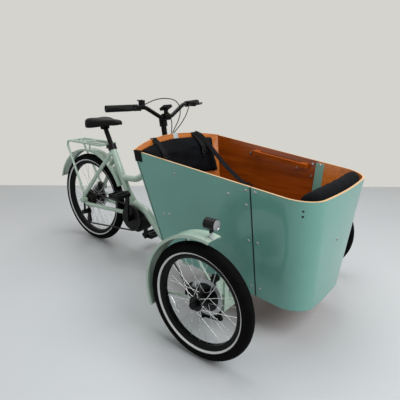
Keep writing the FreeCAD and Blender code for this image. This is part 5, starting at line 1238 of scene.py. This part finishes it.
@dataclass
class Webbing:
    """Straps over the rear rim and the corner, with their buckles, and the belt that lies on the bench."""

    box: BoxForm
    width: float = 0.038
    corner_width: float = 0.048
    belt_width: float = 0.027
    thick: float = 0.0016
    air: float = 0.0004
    section: tuple[tuple[float, float], ...] = (
        (-1.0, -0.5), (-0.94, -1.0), (0.94, -1.0), (1.0, -0.5), (1.0, 0.5), (0.94, 1.0), (-0.94, 1.0), (-1.0, 0.5))
    strap_ys: tuple[float, ...] = (-0.150, 0.170)
    outside_drop: float = 0.055
    outside_steps: int = 6
    inside_drop: float = 0.108
    inside_steps: int = 11
    inside_start: float = 0.012
    pad_proud: float = 0.060
    pad_start: float = 0.008
    pad_run: float = 0.062
    pad_round: float = 0.6
    bend_in: float = 0.001
    rim_rise: float = 0.0005
    rim_dip: float = 0.004
    corner_x: float = 0.839 + REAR_AXLE_X
    corner_drop: float = 0.05
    corner_steps: int = 5
    corner_rise: float = 0.003
    corner_dip: float = 0.002
    belt_lie: Point = (0.55, 0.82, 0.12)
    belt_aside: float = 0.004
    belt_start: tuple[Point, ...] = ((0.016, 0.0, 0.0035), (0.040, 0.012, -0.004))
    belt_spots: tuple[Point, ...] = (
        (0.115, 0.200, 0.764), (0.180, 0.212, 0.694), (0.247, 0.217, 0.630), (0.330, 0.212, 0.576),
        (0.380, 0.205, 0.552), (0.420, 0.200, 0.541))
    buckle_half: float = 0.016
    buckle_bar: float = 0.0026
    buckle_proud: float = 0.004
    buckle_sides: int = 8

    def build(self) -> None:
        """Make and dress the straps and their buckles."""
        for number, y in enumerate(self.strap_ys, 1):
            path = self._rim_path(y)
            self._strap(f"rim_strap_{number}", path, ACROSS, self.width)
            self._buckle(f"strap_buckle_{number}", path[-3], path[-1])
        self._strap("corner_strap", self._corner_path(), Vector((1, 0, 0)), self.corner_width)
        belt = self._belt_path()
        self._strap("bench_belt", belt, Vector(self.belt_lie).normalized(), self.belt_width)
        self._buckle("belt_buckle", belt[-4], belt[-1])

    def _lift(self) -> float:
        """Give the height of a strap's middle line over what it lies on."""
        return self.thick * 0.5 + self.air

    def _rim_path(self, y: float) -> list[Vector]:
        """Give the middle line of a strap over the rear rim.

        Args:
            y: Where the strap lies.

        Returns:
            Points from the outside over the rim and down over the backrest.
        """
        box, gap, drop, steps = self.box, self._lift(), self.outside_drop, self.outside_steps
        top = box.rear_rim(y)
        edge = box.rear(top, y)
        path = [Vector((box.rear(z, y) - gap, y, z)) for z in
                (top - drop + drop * k / steps for k in range(steps + 1))]
        path.append(Vector((edge + self.bend_in, y, top + gap + self.rim_rise)))
        path.append(Vector((edge + box.wall - self.bend_in, y, top + gap + self.rim_rise)))
        path.append(Vector((edge + box.wall + gap, y, top - self.rim_dip)))
        for k in range(self.inside_steps + 1):
            z = top - self.inside_start - (self.inside_drop - self.inside_start) * k / self.inside_steps
            proud = self.pad_proud * min(1.0, (top - self.pad_start - z) / self.pad_run) ** self.pad_round
            path.append(Vector((box.rear(z, y) + box.wall + gap + proud, y, z)))
        return path

    def _corner_path(self) -> list[Vector]:
        """Give the middle line of the band over the right panel's rear corner.

        Returns:
            Points from the outside over the rim to the inside.
        """
        box, gap, x, drop = self.box, self._lift(), self.corner_x, self.corner_drop
        top = box.rim(x)
        falls = [drop * k / self.corner_steps for k in range(self.corner_steps + 1)]
        path = [Vector((x, -box.half(z) - gap, z)) for z in (top - drop + fall for fall in falls)]
        path.append(Vector((x, -box.half(top) + self.bend_in, top + gap + self.corner_rise)))
        path.append(Vector((x, -box.half(top) + box.wall - self.bend_in, top + gap + self.corner_rise)))
        path += [Vector((x, -box.half(z) + box.wall + gap, z)) for z in
                 (top - self.corner_dip - fall for fall in falls)]
        return path

    def _belt_path(self) -> list[Vector]:
        """Give the middle line of the belt from the left strap down to the bench.

        Returns:
            Points from the rear rim to the bench pad.
        """
        y = self.strap_ys[1] + self.belt_aside
        top = self.box.rear_rim(y)
        edge = self.box.rear(top, y)
        start = tuple((edge + ahead, y + aside, top + up) for ahead, aside, up in self.belt_start)
        return smooth_line([Vector(spot) for spot in start + self.belt_spots], steps=24)

    def _strap(self, name: str, path: Sequence[Vector], across: Vector, width: float) -> None:
        """Make a flat strap along a path and dress it.

        Args:
            name: The piece's name.
            path: Points of its middle line.
            across: The direction of its width.
            width: Its width.
        """
        rings = []
        for point, ahead in zip(path, headings(path)):
            side = (across - ahead * across.dot(ahead)).normalized()
            w, t = side * (width / 2), ahead.cross(side) * (self.thick / 2)
            rings.append([point + w * aside + t * up for aside, up in self.section])
        strap = settle(Mesher.loft(name, rings), WEBBING.material(), "frame", "black_fabric", "harness_straps")
        run_length(path)

    def _buckle(self, name: str, start: Vector, end: Vector) -> None:
        """Make and dress a ladder buckle on a strap's end.

        Args:
            name: The piece's name.
            start: A point of the strap before its end.
            end: The strap's end.
        """
        ahead = (end - start).normalized()
        side = (ACROSS - ahead * ACROSS.dot(ahead)).normalized()
        face = ahead.cross(side)
        face = face if face.x > 0 else -face
        centre = end + face * self.buckle_proud
        half_w, half_l = self.width / 2 + self.buckle_proud, self.buckle_half
        rails = ((-half_l, side, ahead, half_w), (half_l, side, ahead, half_w), (0.0, side, ahead, half_w),
                 (-half_w, ahead, side, half_l), (half_w, ahead, side, half_l))
        points, faces, count = [], [], self.buckle_sides
        for offset, along, other, reach in rails:
            base = len(points)
            for end_share in (-1.0, 1.0):
                middle = centre + other * offset + along * (reach * end_share)
                points += ring(middle, other, face, self.buckle_bar, count)
            faces += [(base + k, base + (k + 1) % count, base + count + (k + 1) % count, base + count + k)
                      for k in range(count)]
            faces += [tuple(base + k for k in range(count)), tuple(base + count + k for k in range(count))]
        settle(Mesher.from_faces(name, points, faces), GLOSS_PLASTIC.material(), "frame", "black_plastic")


def smooth_line(points: Sequence[Vector], steps: int) -> list[Vector]:
    """Read points from a smooth spline through a route's control points.

    Args:
        points: The route's control points.
        steps: How finely the spline is read.

    Returns:
        Points along the spline.
    """
    curve = bpy.data.curves.new("route", "CURVE")
    curve.dimensions = "3D"
    curve.resolution_u = steps
    spline = curve.splines.new("NURBS")
    spline.points.add(len(points) - 1)
    for control, point in zip(spline.points, points):
        control.co = (*point, 1.0)
    spline.order_u = 3
    spline.use_endpoint_u = True
    holder = bpy.data.objects.new("route", curve)
    bpy.context.scene.collection.objects.link(holder)
    bpy.context.view_layer.update()
    mesh = bpy.data.meshes.new_from_object(holder.evaluated_get(bpy.context.evaluated_depsgraph_get()))
    line = [vertex.co.copy() for vertex in mesh.vertices]
    bpy.data.objects.remove(holder)
    bpy.data.meshes.remove(mesh)
    kept = [line[0]]
    for point in line[1:]:
        if (point - kept[-1]).length > SAME_POINT:
            kept.append(point)
    return kept


@dataclass
class Cables:
    """Brake and shift cables from the handlebar down to the clip on the rim.

    The routes are in millimetres from the handlebar's middle.
    """

    bar_centre: Point = (0.704 + REAR_AXLE_X, 0.0, 0.902)
    diameter: float = 0.005
    routes: tuple[tuple[str, tuple[Point, ...]], ...] = (
        ("right_cable", (
            (2.0, -205.0, 60.0), (34.0, -150.0, 92.0), (46.0, -90.0, 104.0), (52.0, -30.0, 102.0), (52.0, 22.0, 90.0),
            (50.0, 58.0, 60.0), (46.0, 70.0, 16.0), (36.0, 54.0, -36.0), (26.0, 35.0, -70.0), (20.0, 30.0, -92.0))),
        ("left_cable", (
            (2.0, 205.0, 60.0), (30.0, 164.0, 62.0), (50.0, 134.0, 44.0), (54.0, 108.0, 4.0), (42.0, 78.0, -42.0),
            (28.0, 52.0, -74.0), (20.0, 40.0, -92.0))),
        ("shift_cable", (
            (20.0, -16.0, 36.0), (38.0, -12.0, 18.0), (44.0, -2.0, -18.0), (34.0, 10.0, -58.0), (20.0, 20.0, -92.0))))

    def build(self) -> None:
        """Make and dress the cables."""
        for name, route in self.routes:
            line = smooth_line([Vector(self.bar_centre) + Vector(spot) / 1000 for spot in route], steps=10)
            cable = dress(Mesher.tube(name, line, self.diameter / 2), HOSE.material())
            tuple(line[-1])
            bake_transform(cable)
            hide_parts("brake_cables")
            length = run_length(line)
            tuple(line[0])
            [tuple(point) for point in line]
            LOG.info("cable %s: %.3f m", name, length)


@dataclass
class Details:
    """Small trim: lamp lenses, spoke reflectors, black strips that paint the shadow of the side seams, and the front
    panel's screw and plugs.
    """

    box: BoxForm
    lens_ahead: float = 0.0228
    lens_radius: float = 0.0196
    lens_crown: float = 0.0045
    lens_sides: int = 28
    lens_back: float = 0.001
    lens_shares: tuple[float, ...] = (1.0, 0.96, 0.8, 0.6, 0.4, 0.2, 0.03)
    bezel_out: float = 0.0006
    bezel_ahead: float = 0.0012
    bezel_radius: float = 0.0013
    bezel_sides: tuple[int, int] = (36, 8)
    seam_x: float = 1.465 + REAR_AXLE_X
    # Painted shade: the section of a black strip laid on each side seam in place of its shadowed gap.
    shade_strip_section: tuple[tuple[float, float], ...] = (
        (-0.0032, -0.0003), (-0.0026, 0.0009), (0.0026, 0.0009), (0.0032, -0.0003))
    shade_strip_steps: int = 24
    shade_strip_ends: tuple[float, float] = (0.001, 0.004)
    screw_at: tuple[float, float] = (-0.026, 0.450)
    screw_radius: float = 0.008
    screw_dome: float = 0.004
    screw_socket: float = 0.0022
    screw_lift: float = 0.0003
    screw_round: float = 2.4
    screw_shares: tuple[float, ...] = (1.0, 0.94, 0.8, 0.6, 0.42)
    socket_shares: tuple[float, ...] = (0.36, 0.05)
    screw_sides: int = 20
    plugs_at: tuple[tuple[float, float], ...] = ((-0.302, 0.638), (-0.298, 0.616))
    plug: tuple[tuple[float, float], ...] = (
        (-0.002, 0.0042), (0.0006, 0.0042), (0.0008, 0.0036), (0.0002, 0.0028), (-0.0004, 0.0006))
    plug_sides: int = 16
    reflector: tuple[Point, ...] = ((-0.142, 0.016, -0.020), (-0.118, 0.016, -0.052), (-0.094, 0.016, -0.086))
    reflector_radius: float = 0.0045

    def build(self) -> None:
        """Make and dress every small piece."""
        for side in SIGNS:
            self._lens(side)
            self._reflector(side)
            self._shade_strip(side)
        self._front_screw()
        self._front_plugs()

    def _shade_strip(self, side: str) -> None:
        """Make the black strip that paints the shadowed gap in the seam of a side.

        Args:
            side: Which side.
        """
        box, x = self.box, self.seam_x
        top, foot = box.rim(x) - self.shade_strip_ends[0], box.bench(x) - box.bench_rise + self.shade_strip_ends[1]
        rings = []
        for k in range(self.shade_strip_steps + 1):
            z = top + (foot - top) * k / self.shade_strip_steps
            rings.append([Vector(on_side((x + across, box.half(z) + out, z), side)) for across, out in self.shade_strip_section])
        # Painted shade: the strip is plain black and stands in for the shadow in the seam's gap.
        settle(Mesher.loft(f"{side}_seam_shade_strip", rings), HOSE.material(), "frame", "soft_rubber")

    def _lens(self, side: str) -> None:
        """Make a lamp's lens and the bright ring round it.

        Args:
            side: Which lamp.
        """
        x, y, z = on_side(LAMP_CENTRE, side)
        centre = Vector((x + self.lens_ahead, y, z))
        rings = [self._circle(centre, -self.lens_back, self.lens_radius, self.lens_sides)]
        for share in self.lens_shares:
            height, radius = self.lens_crown * (1 - share * share), self.lens_radius * share
            rings.append(self._circle(centre, height, radius, self.lens_sides))
        lens = Mesher.loft(f"{side}_lamp_lens", rings)
        settle(lens, LAMP_LENS.material(), f"{side}_knuckle_body", "lamp_plastic")
        ahead = Vector((1, 0, 0))
        rings = []
        for a in turns(self.bezel_sides[0]):
            out = Vector((0, math.cos(a), math.sin(a)))
            spot = centre + out * (self.lens_radius + self.bezel_out) + ahead * self.bezel_ahead
            rings.append(ring(spot, out, ahead, self.bezel_radius, self.bezel_sides[1]))
        bezel = Mesher.loft(f"{side}_lamp_bezel", rings, closed=True)
        settle(bezel, STEEL.material(), f"{side}_knuckle_body", "screw_steel")

    @staticmethod
    def _circle(centre: Vector, ahead: float, radius: float, count: int) -> list[Vector]:
        """Give points round a circle that faces ahead, some way ahead of a centre."""
        return ring(centre + Vector((ahead, 0, 0)), ACROSS, UP, radius, count)

    def _reflector(self, side: str) -> None:
        """Make the bright clip across a front wheel's spokes.

        Args:
            side: Which wheel.
        """
        axle = Vector(on_side(FRONT_AXLE, side))
        path = smooth_line([axle + Vector(on_side(spot, side)) for spot in self.reflector], steps=6)
        clip = Mesher.tube(f"{side}_spoke_reflector", path, self.reflector_radius, sides=10)
        settle(clip, STEEL.material(), f"{side}_wheel", "spoke_steel")

    def _front_screw(self) -> None:
        """Make the domed screw on the front panel."""
        y, z = self.screw_at
        centre = Vector((self.box.front(z, y, 0.0)[0], y, z))
        heights = [(self.screw_dome * (1 - share ** self.screw_round) + self.screw_lift, share)
                   for share in self.screw_shares]
        heights += [(self.screw_socket, share) for share in self.socket_shares]
        rings = [self._circle(centre, height, self.screw_radius * share, self.screw_sides) for height, share in heights]
        settle(Mesher.loft("front_screw", rings), SCREW_STEEL.material(), "frame", "screw_steel")

    def _front_plugs(self) -> None:
        """Make the dark plugs of the two small holes near the front corner."""
        for number, (y, z) in enumerate(self.plugs_at, 1):
            x, slope = self.box.front(z, y, 0.0)
            out = Vector((math.cos(slope), math.copysign(math.sin(slope), y), 0.0))
            across = Vector((-out.y, out.x, 0.0))
            centre = Vector((x, y, z))
            rings = [ring(centre + out * depth, across, UP, radius, self.plug_sides) for depth, radius in self.plug]
            settle(Mesher.loft(f"front_hole_{number}", rings), PLASTIC.material(), "frame", "black_plastic")


@dataclass
class Studio:
    """Floor, light and camera."""

    camera_at: Point = (1.55227, -1.65007, 1.12004)
    yaw: float = 2.24297
    pitch: float = -0.30021
    roll: float = -0.00476
    lens: float = 36.12
    sensor: float = 36.0
    clip_end: float = 60.0
    floor_end: float = 4.12
    floor_reach: float = 14.0
    floor_level: float = -0.0005
    wall_colour: Colour = paint(212, 211, 206)
    world_light: float = 0.42
    lamps: tuple[tuple[str, Point, float, float], ...] = (
        ("key", (3.2, -0.2, 2.8), 2.4, 105.0), ("fill", (-0.8, -3.4, 2.4), 2.4, 22.0),
        ("top", (-0.2, 0.4, 3.6), 3.0, 85.0))
    lamps_aim: Point = (0.2, 0.0, 0.4)

    def build(self) -> None:
        """Set up the floor, the lights and the camera."""
        scene = bpy.context.scene
        scene.view_settings.view_transform = "Standard"
        self._camera(scene)
        self._floor()
        self._world(scene)
        for name, place, size, power in self.lamps:
            self._lamp(name, place, size, power)
        LOG.info("studio ready")

    def _camera(self, scene: bpy.types.Scene) -> None:
        """Place the camera at the photograph's angle.

        Args:
            scene: The scene that it looks at.
        """
        ahead = Vector((math.cos(self.pitch) * math.cos(self.yaw), math.cos(self.pitch) * math.sin(self.yaw),
                        math.sin(self.pitch)))
        right = ahead.cross(UP).normalized()
        down = ahead.cross(right)
        c, s = math.cos(self.roll), math.sin(self.roll)
        right, down = right * c + down * s, down * c - right * s
        data = bpy.data.cameras.new("camera")
        data.lens = self.lens
        data.sensor_width = self.sensor
        data.clip_end = self.clip_end
        camera = bpy.data.objects.new("camera", data)
        camera.matrix_world = Matrix((
            (right.x, -down.x, -ahead.x, self.camera_at[0]), (right.y, -down.y, -ahead.y, self.camera_at[1]),
            (right.z, -down.z, -ahead.z, self.camera_at[2]), (0.0, 0.0, 0.0, 1.0)))
        scene.collection.objects.link(camera)
        scene.camera = camera

    def _floor(self) -> None:
        """Lay a plain floor that ends where the room's wall would stand."""
        ahead = Vector((math.cos(self.yaw), math.sin(self.yaw), 0.0))
        side = Vector((-ahead.y, ahead.x, 0.0))
        foot = Vector((self.camera_at[0], self.camera_at[1], self.floor_level))
        end, reach = self.floor_end, self.floor_reach
        ends = ((end, -reach), (end, reach), (-reach, reach), (-reach, -reach))
        corners = [foot + ahead * a + side * b for a, b in ends]
        floor = Mesher.from_faces("studio_floor", corners, [(0, 1, 2, 3)], smooth=False)
        dress(floor, FLOOR.material())

    def _world(self, scene: bpy.types.Scene) -> None:
        """Surround the scene with soft pale light.

        Args:
            scene: The scene.
        """
        world = bpy.data.worlds.new("studio")
        scene.world = world
        world.use_nodes = True
        graph = Graph(world.node_tree)
        world.node_tree.nodes.clear()
        ray = graph.add("LightPath")
        seen = graph.math("MAXIMUM", ray.outputs["Is Camera Ray"], ray.outputs["Is Glossy Ray"])
        seen = graph.math("MAXIMUM", seen, ray.outputs["Is Transmission Ray"])
        strength = graph.math("ADD", self.world_light, graph.math("MULTIPLY", seen, 1.0 - self.world_light))
        back = graph.add("Background", {"Color": self.wall_colour, "Strength": strength})
        graph.add("OutputWorld", {"Surface": back.outputs[0]})

    def _lamp(self, name: str, place: Point, size: float, power: float) -> None:
        """Hang a soft lamp that looks at the middle of the tricycle.

        Args:
            name: The lamp's name.
            place: Where it hangs.
            size: Its side.
            power: Its power in watts.
        """
        data = bpy.data.lights.new(name, "AREA")
        data.size = size
        data.energy = power
        lamp = bpy.data.objects.new(name, data)
        lamp.location = place
        lamp.rotation_euler = (Vector(self.lamps_aim) - Vector(place)).to_track_quat("-Z", "Y").to_euler()
        bpy.context.scene.collection.objects.link(lamp)


def main() -> None:
    """Build the looks of the whole tricycle in order."""
    logging.basicConfig(level=logging.INFO, format="%(name)s: %(message)s")
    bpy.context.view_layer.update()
    Studio().build()
    Cables().build()
    CarriedNodes().dress()
    box = BoxForm()
    Cushions(box).build()
    Saddle().build()
    Webbing(box).build()
    Details(box).build()


if __name__ == "__main__":
    main()
